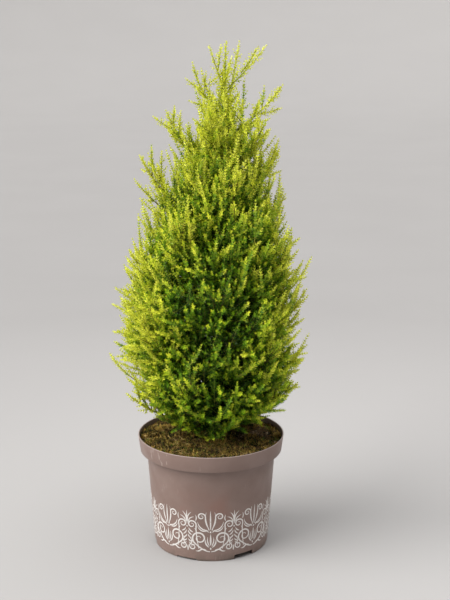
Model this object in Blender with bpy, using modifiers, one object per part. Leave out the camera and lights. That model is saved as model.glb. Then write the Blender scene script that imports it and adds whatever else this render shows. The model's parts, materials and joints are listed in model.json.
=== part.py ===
"""Models a lemon cypress in its growing pot, as separate solids.

Run it with blender --background --python part.py, or from Blender's text editor.
Sizes are in metres and +Z is up. The origin is on the pot's axis, in the flat underside that it
stands on. Seen from the front, looking along +Y, +X is to the right.
"""

import math
import random

import bmesh
import bpy
import numpy as np
from mathutils import Matrix, Vector

# The pot: a thin moulded shell, 19 cm across its rim
POT_HEIGHT = 0.1485
RIM_RADIUS = 0.095
LIP_DEPTH = 0.0012
BAND_HEIGHT = 0.021
BAND_FOOT_RADIUS = 0.0922
WALL_TOP_RADIUS = 0.0838
WALL_FOOT_RADIUS = 0.0748
FOOT_CHAMFER = 0.003
FOOT_RADIUS = 0.074
WALL = 0.0016
FLOOR_CLEARANCE = 0.0075
PAD_RADIUS = 0.034
POT_STEPS = 32
# The foot has notches, of which the one at the front left is nearly closed
NOTCH_HEIGHTS = (0.0065, 0.0065, 0.0065, 0.0065, 0.0025, 0.0065)
NOTCH_WIDTH = 0.029
NOTCH_TURN = math.radians(5)
DRAIN_RADIUS = 0.005
DRAIN_RING_RADIUS = 0.054

# The compost that fills it, highest round the trunk
SOIL_EDGE = 0.1400
SOIL_TOP = 0.1430
SOIL_FLAT_RADIUS = 0.016
GAP = 0.0003

# The trunk leans a little to the right and tapers to the foot of the top shoots
PLANT_TOP = 0.65
TRUNK_TOP = 0.585
TOP_LEAN = 0.0183
TRUNK_FOOT_RADIUS = 0.0062
TRUNK_TIP_RADIUS = 0.0012
FLARE_RADIUS = 0.0035
FLARE_HEIGHT = 0.010
TRUNK_SIDES = 10
TRUNK_RINGS = 14

# The crown is an egg-shaped envelope round the trunk
CROWN_FOOT = 0.165
CROWN_RADIUS = 0.121
CROWN_FOOT_SHARE = 0.48
CROWN_FILL_HEIGHT = 0.18
CROWN_POWER = 2.2
CROWN_ROUNDING = 0.75
LEFT_BULGE = 0.045

# Branches stand round the trunk on a spiral, and each ends in one mass of foliage
SPIRAL_BRANCHES = 23
SPIRAL_LOW_TIP = 0.178
SPIRAL_HIGH_TIP = 0.522
SPIRAL_LOW_ROOT = 0.154
SPIRAL_HIGH_ROOT = 0.425
SPIRAL_START = math.radians(286)
GOLDEN_ANGLE = math.radians(137.508)
LEAN_BEND = math.radians(17)
BOUGH_SHARE = 0.15
BOUGH_ROOT_RADIUS = 0.0023
BOUGH_TIP_RADIUS = 0.0014
SEED = 41

# The shoots that give the top its outline: direction, reach from the trunk, root and tip heights,
# and how full they are beside the other masses
TOP_BRANCHES = (
    (math.radians(-5), 0.071, 0.533, 0.597, 0.72),
    (math.radians(173), 0.040, 0.560, 0.623, 0.72),
    (math.radians(186), 0.069, 0.486, 0.566, 0.85),
    (math.radians(328), 0.062, 0.478, 0.556, 0.9),
    (math.radians(252), 0.046, 0.498, 0.575, 0.95),
    (math.radians(88), 0.052, 0.513, 0.592, 0.9),
    (math.radians(180), 0.096, 0.408, 0.506, 1.0),
    (math.radians(12), 0.074, 0.422, 0.514, 1.0),
    (math.radians(228), 0.050, 0.418, 0.503, 1.1),
)
# The shoots of the topmost mass: direction, reach, and foot and tip heights
LEADER_SHOOTS = (
    (math.radians(2), 0.048, 0.590, 0.6440),
    (math.radians(186), 0.020, 0.594, 0.6440),
    (math.radians(70), 0.022, 0.600, 0.6300),
    (math.radians(285), 0.020, 0.596, 0.6240),
)

# Twigs leave a mass's stem on a spiral too, and each carries sprays of needles
TWIGS_PER_MASS = 10
TWIG_TRIES = 3
TWIG_RADIUS = 0.0011
TWIG_NECK = 0.3
PLUME_SHARE = 0.29
SPRAY_RADIUS = 0.0058
SPRAY_WAIST = 0.5
SIDE_SPRAYS = ((0.20, 0.68), (0.42, 0.58))
ELBOW_ROOM = 0.0085
CORE_START = 0.18
CORE_END = 0.86
CORE_ROOT_WIDTH = 0.78
CORE_TIP_WIDTH = 0.30
SPACE_MARGIN = 0.0009
ENVELOPE_SPARE = 0.009
UP = Vector((0, 0, 1))


def clear_scene():
    for thing in list(bpy.data.objects):
        bpy.data.objects.remove(thing, do_unlink=True)


def new_collection(name):
    made = bpy.data.collections.new(name)
    bpy.context.scene.collection.children.link(made)
    return made


def new_material(name, colour, roughness):
    """A plain finish of one colour, none of them metallic."""
    made = bpy.data.materials.new(name)
    made.use_nodes = True
    shader = made.node_tree.nodes["Principled BSDF"]
    shader.inputs["Base Color"].default_value = (*colour, 1)
    shader.inputs["Roughness"].default_value = roughness
    shader.inputs["Metallic"].default_value = 0
    made.diffuse_color = (*colour, 1)
    return made


def new_object(name, mesh, collection, finish=None):
    made = bpy.data.objects.new(name, mesh)
    collection.objects.link(made)
    if finish:
        mesh.materials.clear()
        mesh.materials.append(finish)
    return made


def as_cutter(thing):
    thing.hide_render = True
    thing.display_type = "WIRE"
    return thing


def boolean(thing, operation, other=None, group=None, solver="EXACT"):
    modifier = thing.modifiers.new(operation.title(), "BOOLEAN")
    modifier.operation = operation
    modifier.solver = solver
    if group:
        modifier.operand_type = "COLLECTION"
        modifier.collection = group
    else:
        modifier.object = other
    return modifier


def evaluated_mesh(thing):
    bpy.context.view_layer.update()
    graph = bpy.context.evaluated_depsgraph_get()
    return bpy.data.meshes.new_from_object(thing.evaluated_get(graph))


# Pot and compost


def turned(name, profile, collection, finish):
    """A profile of (radius, height), down its outer side, turned about Z."""
    mesh = bpy.data.meshes.new(name)
    points = [(radius, 0, height) for radius, height in profile]
    mesh.from_pydata(points, [(i, i + 1) for i in range(len(points) - 1)], [])
    made = new_object(name, mesh, collection, finish)
    screw = made.modifiers.new("Turn", "SCREW")
    screw.steps = screw.render_steps = POT_STEPS
    screw.use_merge_vertices = True
    screw.merge_threshold = 0.00001
    screw.use_smooth_shade = True
    return made


def wall_radius(height):
    """The outer radius of the wall below the rim band."""
    band_foot = POT_HEIGHT - BAND_HEIGHT
    share = (height - FOOT_CHAMFER) / (band_foot - FOOT_CHAMFER)
    return WALL_FOOT_RADIUS + share * (WALL_TOP_RADIUS - WALL_FOOT_RADIUS)


def inside_profile():
    """The pot's inner face from the middle of the floor to the lip, which the compost follows."""
    band_foot = POT_HEIGHT - BAND_HEIGHT
    floor = FLOOR_CLEARANCE + WALL
    return [
        (0, WALL),
        (PAD_RADIUS - WALL, WALL),
        (PAD_RADIUS, floor),
        (wall_radius(floor) - WALL, floor),
        (wall_radius(band_foot) - WALL, band_foot),
        (BAND_FOOT_RADIUS - WALL, band_foot + WALL),
        (RIM_RADIUS - WALL, POT_HEIGHT),
    ]


def pot_profile():
    band_foot = POT_HEIGHT - BAND_HEIGHT
    return [
        *inside_profile(),
        (RIM_RADIUS - LIP_DEPTH / 2, POT_HEIGHT),
        (RIM_RADIUS, POT_HEIGHT - LIP_DEPTH),
        (BAND_FOOT_RADIUS, band_foot),
        (wall_radius(band_foot), band_foot),
        (WALL_FOOT_RADIUS, FOOT_CHAMFER),
        (FOOT_RADIUS, 0),
        (FOOT_RADIUS - WALL, 0),
        (FOOT_RADIUS - WALL, FLOOR_CLEARANCE),
        (PAD_RADIUS + WALL, FLOOR_CLEARANCE),
        (PAD_RADIUS, 0),
        (0, 0),
    ]


def build_pot(parts, cutters, finish):
    """The shell, with drainage notches in its foot and a ring of drain holes in its floor."""
    pot = turned("pot", pot_profile(), parts, finish)
    group = new_collection("pot_cuts")
    cutters.children.link(group)
    bpy.context.scene.collection.children.unlink(group)
    for index, notch_height in enumerate(NOTCH_HEIGHTS):
        turn = Matrix.Rotation(NOTCH_TURN + math.tau * index / len(NOTCH_HEIGHTS), 4, "Z")
        notch = bmesh.new()
        bmesh.ops.create_cube(notch, size=1)
        size = Matrix.Diagonal((8 * WALL, NOTCH_WIDTH, 2 * notch_height, 1))
        notch.transform(turn @ Matrix.Translation((FOOT_RADIUS, 0, 0)) @ size)
        drain = bmesh.new()
        bmesh.ops.create_cone(
            drain, cap_ends=True, segments=10, radius1=DRAIN_RADIUS, radius2=DRAIN_RADIUS,
            depth=8 * WALL,
        )
        drain.transform(turn @ Matrix.Translation((DRAIN_RING_RADIUS, 0, FLOOR_CLEARANCE)))
        for name, shape in (("notch", notch), ("drain", drain)):
            mesh = bpy.data.meshes.new(f"{name}_{index + 1}")
            shape.to_mesh(mesh)
            shape.free()
            as_cutter(new_object(mesh.name, mesh, group))
    boolean(pot, "DIFFERENCE", group=group)
    return pot


def soil_profile():
    """The inner face of the pot, a gap inside it, up to the compost's own surface."""
    inside = inside_profile()
    band_foot = POT_HEIGHT - BAND_HEIGHT
    slope = (inside[6][0] - inside[5][0]) / (inside[6][1] - inside[5][1])
    edge_radius = inside[5][0] + slope * (SOIL_EDGE - inside[5][1]) - 2 * GAP
    surface = [
        (0, SOIL_TOP),
        (SOIL_FLAT_RADIUS, SOIL_TOP),
        (0.65 * edge_radius, (SOIL_EDGE + SOIL_TOP) / 2 + 0.0005),
        (edge_radius, SOIL_EDGE),
    ]
    below = [
        (inside[5][0] - 2 * GAP, inside[5][1] + GAP),
        (inside[4][0] - 2 * GAP, band_foot + GAP),
        (inside[3][0] - 2 * GAP, inside[3][1] + GAP),
        (inside[2][0] - GAP, inside[2][1] + GAP),
        (inside[1][0] - 2 * GAP, inside[1][1] + GAP),
        (0, inside[0][1] + GAP),
    ]
    return surface + below


# Trunk and boughs


def trunk_centre(height):
    """The trunk's centre line: an even lean with a slight sway."""
    share = (height - SOIL_TOP) / (PLANT_TOP - SOIL_TOP)
    sway = 0.0016 * math.sin(share * math.tau * 1.2)
    return Vector((TOP_LEAN * share + sway, 0.7 * sway * (1 - share), height))


def trunk_radius(height):
    share = min(1.0, max(0.0, (height - SOIL_TOP) / (TRUNK_TOP - SOIL_TOP)))
    flare = FLARE_RADIUS * math.exp(-(height - SOIL_TOP) / FLARE_HEIGHT)
    return TRUNK_FOOT_RADIUS + share * (TRUNK_TIP_RADIUS - TRUNK_FOOT_RADIUS) + flare


def tube(name, points, radii, collection, finish, sides):
    """A limb as a mesh: a poly curve with a round bevel, its caps welded on."""
    curve = bpy.data.curves.new(name, "CURVE")
    curve.dimensions = "3D"
    curve.bevel_depth = 1
    curve.bevel_resolution = (sides - 4) // 2
    curve.use_fill_caps = True
    spline = curve.splines.new("POLY")
    spline.points.add(len(points) - 1)
    for place, point, radius in zip(spline.points, points, radii):
        place.co = (*point, 1)
        place.radius = radius
    guide = new_object(name + "_guide", curve, collection)
    mesh = evaluated_mesh(guide)
    bpy.data.objects.remove(guide)
    shape = bmesh.new()
    shape.from_mesh(mesh)
    bmesh.ops.remove_doubles(shape, verts=shape.verts, dist=0.00001)
    bmesh.ops.recalc_face_normals(shape, faces=shape.faces)
    shape.to_mesh(mesh)
    shape.free()
    mesh.name = name
    mesh.shade_smooth()
    return new_object(name, mesh, collection, finish)


def trunk_tube(name, spare, foot, collection, finish=None):
    """The trunk, or with some spare thickness the cutter that keeps others clear of it."""
    heights = [foot + (TRUNK_TOP - foot) * (i / TRUNK_RINGS) ** 1.4 for i in range(TRUNK_RINGS + 1)]
    points = [trunk_centre(height) for height in heights]
    radii = [trunk_radius(height) + spare for height in heights]
    trunk = tube(name, points, radii, collection, finish, TRUNK_SIDES)
    for vert in trunk.data.vertices:
        if vert.co.z < (heights[0] + heights[1]) / 2:
            vert.co.z = foot
    return trunk


def crown_radius(height, direction):
    """How far the crown reaches from the trunk at a height, on the side that it faces."""
    share = min(1.0, max(0.0, (height - CROWN_FOOT) / (PLANT_TOP - CROWN_FOOT)))
    taper = (1 - share**CROWN_POWER) ** CROWN_ROUNDING
    fill = math.sin(math.pi / 2 * min(1.0, share / CROWN_FILL_HEIGHT))
    foot = CROWN_FOOT_SHARE + (1 - CROWN_FOOT_SHARE) * fill
    return CROWN_RADIUS * taper * foot * (1 - LEFT_BULGE * math.cos(direction))


def outward(direction):
    return Vector((math.cos(direction), math.sin(direction), 0))


class Branch:
    """One limb from the trunk to a tip: a bough, then the stem of a mass of foliage."""

    def __init__(self, name, direction, reach, root_height, tip_height, fullness=None):
        self.name = name
        self.has_bough = fullness is None
        self.root = trunk_centre(root_height)
        self.tip = trunk_centre(tip_height) + outward(direction) * reach
        self.length = (self.tip - self.root).length
        self.plume = self.length * PLUME_SHARE * (fullness or 1)
        lean = math.atan2(reach, tip_height - root_height) + LEAN_BEND
        aim = outward(direction) * math.sin(lean) + UP * math.cos(lean)
        self.bend = self.root + aim * (0.5 * self.length)

    def point(self, share):
        """A place on the limb, from 0 at the trunk to 1 at the tip."""
        back = 1 - share
        return self.root * back**2 + self.bend * (2 * share * back) + self.tip * share**2

    def heading(self, share):
        return ((self.bend - self.root) * (1 - share) + (self.tip - self.bend) * share).normalized()

    def mass_start(self):
        """The share where the mass begins: at its bough's tip, or just clear of the trunk."""
        if self.has_bough:
            return BOUGH_SHARE
        share = 0.0
        while True:
            point = self.point(share)
            away = (point - trunk_centre(point.z)).length
            if away > trunk_radius(point.z) + BOUGH_TIP_RADIUS * self.heading(share).z + GAP:
                return share
            share += 0.002


def spiral_branches():
    """Branches whose tips share out the crown's surface evenly, each a golden angle on."""
    steps = 200
    rise = SPIRAL_HIGH_TIP - SPIRAL_LOW_TIP
    heights = [SPIRAL_LOW_TIP + rise * i / steps for i in range(steps + 1)]
    areas = np.cumsum([crown_radius(height, math.pi / 2) for height in heights])
    made = []
    for index in range(SPIRAL_BRANCHES):
        rng = random.Random(SEED * 100 + index)
        share = index / (SPIRAL_BRANCHES - 1)
        tip_height = float(np.interp(share * areas[-1], areas, heights))
        tip_height += rng.uniform(-0.006, 0.006)
        root_height = SPIRAL_LOW_ROOT + (SPIRAL_HIGH_ROOT - SPIRAL_LOW_ROOT) * share**1.9
        direction = SPIRAL_START + GOLDEN_ANGLE * index + rng.uniform(-0.12, 0.12)
        reach = crown_radius(tip_height, direction) * rng.uniform(0.98, 1.07)
        made.append(Branch(f"{index + 1:02d}", direction, reach, root_height, tip_height))
    return made


def top_branches():
    made = []
    for index, measures in enumerate(TOP_BRANCHES):
        made.append(Branch(f"{SPIRAL_BRANCHES + index + 1:02d}", *measures))
    return made


def build_bough(branch, parts, finish, trunk_cutter):
    """One tapering limb from the trunk to where its foliage begins."""
    shares = [BOUGH_SHARE * i / 3 for i in range(4)]
    slim = GAP / branch.length
    shares[-1] -= slim
    points = [branch.point(share) for share in shares]
    radii = [bough_radius(share) for share in shares]
    bough = tube(f"bough_{branch.name}", points, radii, parts, finish, 6)
    boolean(bough, "DIFFERENCE", other=trunk_cutter)
    return bough


def bough_radius(share):
    return BOUGH_ROOT_RADIUS + (BOUGH_TIP_RADIUS - BOUGH_ROOT_RADIUS) * share / BOUGH_SHARE


# The space that each mass keeps to


def segment_distances(points, starts, ends):
    """The distance from each of the points to each of the segments."""
    along = ends - starts
    offset = points[:, None, :] - starts[None]
    lengths = np.einsum("sk,sk->s", along, along)
    share = np.clip(np.einsum("psk,sk->ps", offset, along) / lengths, 0, 1)
    return np.linalg.norm(offset - share[..., None] * along[None], axis=2)


class Space:
    """Tells which points belong to which branch, clear of the trunk, boughs, pot and compost."""

    def __init__(self, lines, bough_lines):
        self.starts = np.concatenate([line[:-1] for line in lines])
        self.ends = np.concatenate([line[1:] for line in lines])
        self.owners = np.concatenate([np.full(len(line) - 1, i) for i, line in enumerate(lines)])
        self.bough_starts = np.concatenate([line[:-1] for line in bough_lines])
        self.bough_ends = np.concatenate([line[1:] for line in bough_lines])

    def holds(self, owner, points):
        points = np.array([tuple(point) for point in points])
        away = segment_distances(points, self.starts, self.ends)
        own = self.owners == owner
        if (away[:, own].min(1) + SPACE_MARGIN > away[:, ~own].min(1)).any():
            return False
        boughs = segment_distances(points, self.bough_starts, self.bough_ends)
        if boughs.min() < BOUGH_ROOT_RADIUS + SPACE_MARGIN:
            return False
        return all(clear_of_the_rest(*point, owner) for point in points)


def clear_of_the_rest(x, y, z, owner):
    """Whether a place is clear of the trunk, pot and compost, and inside the crown's envelope."""
    centre = trunk_centre(z)
    away = math.hypot(x - centre.x, y - centre.y)
    direction = math.atan2(y - centre.y, x - centre.x)
    over_soil = math.hypot(x, y) < BAND_FOOT_RADIUS - WALL
    floor = SOIL_TOP if over_soil else POT_HEIGHT
    if z < floor + 0.0015 or z > PLANT_TOP:
        return False
    if z < TRUNK_TOP + 0.002 and away < trunk_radius(z) + 0.0015:
        return False
    return owner >= SPIRAL_BRANCHES or away < crown_radius(z, direction) + ENVELOPE_SPARE


# Foliage: a stem, twigs round it, and sprays of needles on each twig


def frame_about(heading):
    """Two directions at right angles to a heading."""
    side = heading.cross(UP if abs(heading.z) < 0.95 else Vector((1, 0, 0))).normalized()
    return side, heading.cross(side)


def twig_direction(heading, spin, lean):
    side, over = frame_about(heading)
    aside = side * math.cos(spin) + over * math.sin(spin)
    return (heading * math.cos(lean) + aside * math.sin(lean)).normalized()


def spray_samples(start, end, radius):
    """The corners of the outer part of a spray, to test against the space round it."""
    side, over = frame_about((end - start).normalized())
    waist, shoulder = start.lerp(end, SPRAY_WAIST), start.lerp(end, 0.75)
    ring = [side * radius, over * radius, side * -radius, over * -radius]
    return [end, *(waist + offset for offset in ring), *(shoulder + offset / 2 for offset in ring)]


class Foliage:
    """The sprays of one mass: (foot, tip, radius), on a neck of wood where they are twigs."""

    def __init__(self, owner, space):
        self.owner = owner
        self.space = space
        self.twigs = []
        self.sprays = []

    def crowds(self, foot, tip):
        """Whether the outer half of a spray would run into another of the same mass."""
        others = self.twigs + self.sprays
        if not others:
            return False
        points = np.array([foot.lerp(tip, share) for share in (0.55, 0.7, 0.85, 1.0)])
        starts = np.array([start.lerp(end, TWIG_NECK) for start, end, radius in others])
        ends = np.array([end for start, end, radius in others])
        return segment_distances(points, starts, ends).min() < ELBOW_ROOM

    def fitted_tip(self, foot, aim, length, radius):
        """The furthest tip that keeps a spray to its space and off the others, or None."""
        for shrink in (1.0, 0.87, 0.75, 0.62, 0.5):
            tip = foot + aim.normalized() * (length * shrink)
            if not self.crowds(foot, tip) and self.space.holds(self.owner, spray_samples(foot, tip, radius)):
                return tip
        return None

    def grow_twig(self, foot, tip, rng):
        """A twig that ends in a spray, with more sprays to either side of it."""
        length = (tip - foot).length
        heading = (tip - foot).normalized()
        self.twigs.append((foot, tip, SPRAY_RADIUS))
        spin = rng.uniform(0, math.tau)
        for share, part in SIDE_SPRAYS:
            side_foot = foot.lerp(tip, share)
            spin += math.pi + rng.uniform(-0.9, 0.9)
            aim = twig_direction(heading, spin, math.radians(rng.uniform(34, 48))) + UP * 0.35
            side_tip = self.fitted_tip(side_foot, aim, length * part, SPRAY_RADIUS * 0.9)
            if side_tip is not None:
                self.sprays.append((side_foot, side_tip, SPRAY_RADIUS * 0.9))


def grow_mass(branch, owner, space):
    """Twigs on a spiral up the stem, longest near its foot, and a leading spray at its tip."""
    foliage = Foliage(owner, space)
    rng = random.Random(SEED * 1000 + owner)
    start = max(branch.mass_start(), 0.16)
    spin = rng.uniform(0, math.tau)
    foliage.sprays.append((branch.point(0.72), branch.tip, SPRAY_RADIUS * 0.9))
    for index in range(TWIGS_PER_MASS):
        along = (index + 0.5) / TWIGS_PER_MASS
        share = start + (0.88 - start) * (0.04 + 0.94 * along)
        lean = math.radians(rng.uniform(38, 52))
        length = branch.plume * (1.4 - 0.75 * along) * rng.uniform(0.9, 1.1) / math.sin(lean)
        foot = branch.point(share)
        for _ in range(TWIG_TRIES):
            spin += GOLDEN_ANGLE
            aim = twig_direction(branch.heading(share), spin, lean) + UP * 0.2
            tip = foliage.fitted_tip(foot, aim, length, SPRAY_RADIUS)
            if tip is not None:
                foliage.grow_twig(foot, tip, rng)
                break
    return foliage


def lofted(start, end, sides, rings):
    """A closed shape along a line, from rings of (share of the line, radius); one of no radius is a tip."""
    shape = bmesh.new()
    length = (end - start).length
    loops = []
    for share, radius in rings:
        turns = [math.tau * i / sides for i in range(sides)] if radius else [0]
        places = [(radius * math.cos(turn), radius * math.sin(turn), share * length) for turn in turns]
        loops.append([shape.verts.new(place) for place in places])
    for low, high in zip(loops, loops[1:]):
        for i in range(sides):
            face = [low[i % len(low)], low[(i + 1) % len(low)], high[(i + 1) % len(high)], high[i % len(high)]]
            shape.faces.new(dict.fromkeys(face))
    for loop in (loops[0], loops[-1]):
        if len(loop) > 1:
            shape.faces.new(loop)
    bmesh.ops.recalc_face_normals(shape, faces=shape.faces)
    shape.transform(standing_on(start, end))
    return shape


def spindle(start, end, radius):
    """An eight-sided spray of needles."""
    return lofted(start, end, 4, [(0, 0), (SPRAY_WAIST, radius), (1, 0)])


def twig_with_spray(start, end, radius):
    """A three-sided twig that swells into the spray at its end."""
    return lofted(start, end, 3, [(0, TWIG_RADIUS), (TWIG_NECK, TWIG_RADIUS), (0.6, radius), (1, 0)])


def standing_on(start, end):
    """The matrix that turns +Z from start to end, and moves the origin to start."""
    turn = (end - start).to_track_quat("Z", "Y").to_matrix().to_4x4()
    return Matrix.Translation(start) @ turn


def core(branch, owner, space):
    """The dense heart of a mass: a coarse ball drawn out along the stem, inside the mass's space."""
    rng = random.Random(SEED * 2000 + owner)
    shape = bmesh.new()
    bmesh.ops.create_uvsphere(shape, u_segments=6, v_segments=5, radius=1)
    for vert in shape.verts:
        share = CORE_START + (CORE_END - CORE_START) * (vert.co.z + 1) / 2
        side, over = frame_about(branch.heading(share))
        width = branch.plume * (CORE_ROOT_WIDTH + (CORE_TIP_WIDTH - CORE_ROOT_WIDTH) * share)
        offset = (side * vert.co.x + over * vert.co.y) * (width * rng.uniform(0.75, 1.15))
        centre = branch.point(share)
        while offset.length > 0.002 and not space.holds(owner, [centre + offset * 1.1]):
            offset *= 0.9
        vert.co = centre + offset
    bmesh.ops.triangulate(shape, faces=shape.faces)
    return shape


def kept_sound(thing):
    """Drops loose scraps and the skins of sealed hollows, and tells whether the rest is a sound solid."""
    shape = bmesh.new()
    shape.from_mesh(thing.data)
    todo = set(shape.verts)
    bodies = []
    while todo:
        body, edge = set(), [todo.pop()]
        while edge:
            vert = edge.pop()
            body.add(vert)
            near = {other for link in vert.link_edges for other in link.verts} & todo
            todo -= near
            edge.extend(near)
        bodies.append(body)
    keep = max(bodies, key=len)
    spare = [vert for body in bodies if body is not keep for vert in body]
    bmesh.ops.delete(shape, geom=spare, context="VERTS")
    sound = all(edge.is_manifold for edge in shape.edges) and shape.calc_volume(signed=True) > 0
    shape.to_mesh(thing.data)
    shape.free()
    return sound


def fuse(name, shapes, parts, finish):
    """One Boolean union of all the shapes into the first."""
    for solver in ("EXACT", "MANIFOLD"):
        group = new_collection(name + "_pieces")
        for index, shape in enumerate(shapes[1:]):
            mesh = bpy.data.meshes.new(f"{name}_piece_{index}")
            shape.to_mesh(mesh)
            new_object(mesh.name, mesh, group)
        mesh = bpy.data.meshes.new(name)
        shapes[0].to_mesh(mesh)
        thing = new_object(name, mesh, parts, finish)
        boolean(thing, "UNION", group=group, solver=solver)
        mesh = evaluated_mesh(thing)
        thing.modifiers.clear()
        thing.data = mesh
        for piece in list(group.objects):
            bpy.data.objects.remove(piece, do_unlink=True)
        bpy.data.collections.remove(group)
        if kept_sound(thing):
            break
        bpy.data.objects.remove(thing, do_unlink=True)
    mesh.materials.clear()
    mesh.materials.append(finish)
    mesh.name = name
    for shape in shapes:
        shape.free()
    return thing


def stem_shape(branch, start, parts):
    """The stem of a mass as a four-sided tube, from a share of the branch to under its last spray."""
    shares = [start + (0.9 - start) * i / 4 for i in range(5)]
    points = [branch.point(share) for share in shares]
    radii = [BOUGH_TIP_RADIUS * (1.0 - 0.5 * i / 4) for i in range(5)]
    made = tube("stem", points, radii, parts, None, 4)
    shape = bmesh.new()
    shape.from_mesh(made.data)
    bpy.data.objects.remove(made)
    return shape


def build_mass(branch, owner, space, parts, finish):
    foliage = grow_mass(branch, owner, space)
    shapes = [stem_shape(branch, branch.mass_start(), parts), core(branch, owner, space)]
    shapes += [twig_with_spray(*twig) for twig in foliage.twigs]
    shapes += [spindle(*spray) for spray in foliage.sprays]
    return fuse(f"foliage_{branch.name}", shapes, parts, finish)


class Leader:
    """The topmost stem, which stands on the trunk's tip."""

    def __init__(self):
        self.root = trunk_centre(TRUNK_TOP + GAP)
        self.tip = trunk_centre(PLANT_TOP)

    def shoots(self):
        """The foot and tip of each of its shoots."""
        made = []
        for direction, reach, foot_height, tip_height in LEADER_SHOOTS:
            tip = trunk_centre(tip_height) + outward(direction) * reach
            made.append((trunk_centre(foot_height), tip))
        return made


def build_leader(leader, owner, space, parts, finish):
    """The top mass: the leader, its long shoots, and a spray or two on each."""
    rng = random.Random(SEED * 1000 + owner)
    foliage = Foliage(owner, space)
    for foot, tip in leader.shoots():
        foliage.grow_twig(foot, tip, rng)
    shapes = [lofted(leader.root, leader.tip, 4, [(0, TRUNK_TIP_RADIUS), (0.4, 0.0009), (0.75, 0.0036), (1, 0)])]
    shapes += [twig_with_spray(*twig) for twig in foliage.twigs]
    shapes += [spindle(*spray) for spray in foliage.sprays]
    return fuse("foliage_top", shapes, parts, finish)


def main():
    clear_scene()
    parts = new_collection("lemon_cypress")
    cutters = new_collection("cutters")
    plastic = new_material("taupe_plastic", (0.30, 0.235, 0.21), 0.45)
    compost = new_material("mossy_compost", (0.09, 0.06, 0.025), 0.95)
    bark = new_material("bark", (0.20, 0.11, 0.06), 0.85)
    leaf = new_material("lemon_needles", (0.30, 0.42, 0.04), 0.6)

    build_pot(parts, cutters, plastic)
    turned("soil", soil_profile(), parts, compost)
    trunk_tube("trunk", 0, SOIL_TOP + GAP, parts, bark)
    trunk_cutter = as_cutter(trunk_tube("trunk_clearance", GAP, SOIL_TOP, cutters))

    branches = spiral_branches() + top_branches()
    leader = Leader()
    lines = [np.array([branch.point(i / 8) for i in range(9)]) for branch in branches]
    leader_line = [point for pair in leader.shoots() for point in pair]
    lines.append(np.array([leader.root, leader.tip, *leader_line]))
    boughs = [branch for branch in branches if branch.has_bough]
    space = Space(lines, [np.array([branch.point(BOUGH_SHARE * i / 4) for i in range(5)]) for branch in boughs])
    for branch in boughs:
        build_bough(branch, parts, bark, trunk_cutter)
    for owner, branch in enumerate(branches):
        build_mass(branch, owner, space, parts, leaf)
    build_leader(leader, len(branches), space, parts, leaf)


main()
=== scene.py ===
# %% [markdown]
# # A lemon cypress in its growing pot
# The plant is a young conifer about 65 cm tall: one trunk, boughs on a spiral round it, and a dense
# feathery crown that is lemon yellow at its tips and deep green inside. It stands in a thin moulded
# nursery pot, 19 cm across, with a white scroll frieze and mossy compost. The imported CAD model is
# loaded first. Everything that follows is grown or turned in the same place, in metres, with +Z up.

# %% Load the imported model
import json
import math
import random

import bmesh
import bpy
import numpy as np
from mathutils import Matrix, Vector, noise
from mathutils.kdtree import KDTree

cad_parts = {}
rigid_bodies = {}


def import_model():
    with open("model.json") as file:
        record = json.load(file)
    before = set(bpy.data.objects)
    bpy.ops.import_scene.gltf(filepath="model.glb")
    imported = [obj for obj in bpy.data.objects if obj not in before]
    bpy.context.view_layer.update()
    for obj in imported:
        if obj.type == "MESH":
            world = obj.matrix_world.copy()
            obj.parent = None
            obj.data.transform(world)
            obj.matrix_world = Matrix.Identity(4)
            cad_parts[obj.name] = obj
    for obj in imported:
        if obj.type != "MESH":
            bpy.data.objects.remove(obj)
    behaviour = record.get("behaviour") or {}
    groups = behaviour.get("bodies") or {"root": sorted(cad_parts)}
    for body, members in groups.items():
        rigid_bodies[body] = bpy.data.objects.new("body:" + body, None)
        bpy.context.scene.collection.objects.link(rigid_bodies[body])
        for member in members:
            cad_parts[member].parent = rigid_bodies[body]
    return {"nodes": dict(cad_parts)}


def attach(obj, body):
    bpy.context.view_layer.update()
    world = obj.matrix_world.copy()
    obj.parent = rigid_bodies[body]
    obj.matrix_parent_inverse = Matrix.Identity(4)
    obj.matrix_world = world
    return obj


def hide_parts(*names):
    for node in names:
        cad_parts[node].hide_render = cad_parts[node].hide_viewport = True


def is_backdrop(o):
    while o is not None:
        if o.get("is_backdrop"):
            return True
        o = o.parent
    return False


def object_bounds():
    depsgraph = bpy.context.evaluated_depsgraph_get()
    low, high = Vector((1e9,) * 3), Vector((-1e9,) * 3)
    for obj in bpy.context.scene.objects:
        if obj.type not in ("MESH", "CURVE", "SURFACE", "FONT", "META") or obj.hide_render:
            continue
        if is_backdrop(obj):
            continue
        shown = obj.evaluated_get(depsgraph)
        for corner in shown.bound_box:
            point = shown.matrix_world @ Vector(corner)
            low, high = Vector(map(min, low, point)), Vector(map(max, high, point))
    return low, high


for leftover in list(bpy.data.objects):
    bpy.data.objects.remove(leftover, do_unlink=True)
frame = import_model()
cad_low, cad_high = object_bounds()
print(f"{len(frame['nodes'])} CAD nodes, {[round(v, 4) for v in cad_high - cad_low]} m")

# %% [markdown]
# ## The camera
# The photograph was taken from a little above the plant, so the rim shows as an ellipse. The place,
# the tilt and the lens were worked out from that ellipse, the one of the pot's foot and the plant's
# known height. A long lens like this keeps the pot's sides from splaying.

# %% Camera
camera_data = bpy.data.cameras.new("camera")
camera_data.sensor_width = 36
camera_data.lens = 77.6
camera = bpy.data.objects.new("camera", camera_data)
camera.location = (0.0183, -1.6, 0.726)
camera.rotation_euler = (math.radians(90 - 14.02), 0, 0)
bpy.context.scene.collection.objects.link(camera)
bpy.context.scene.camera = camera

# %% [markdown]
# ## Small helpers
# Every piece ends the same way: a mesh whose object sits at the origin, joined to the model's one
# body, with the CAD nodes that it stands for hidden.

# %% Helpers for pieces
UP = Vector((0, 0, 1))


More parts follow.
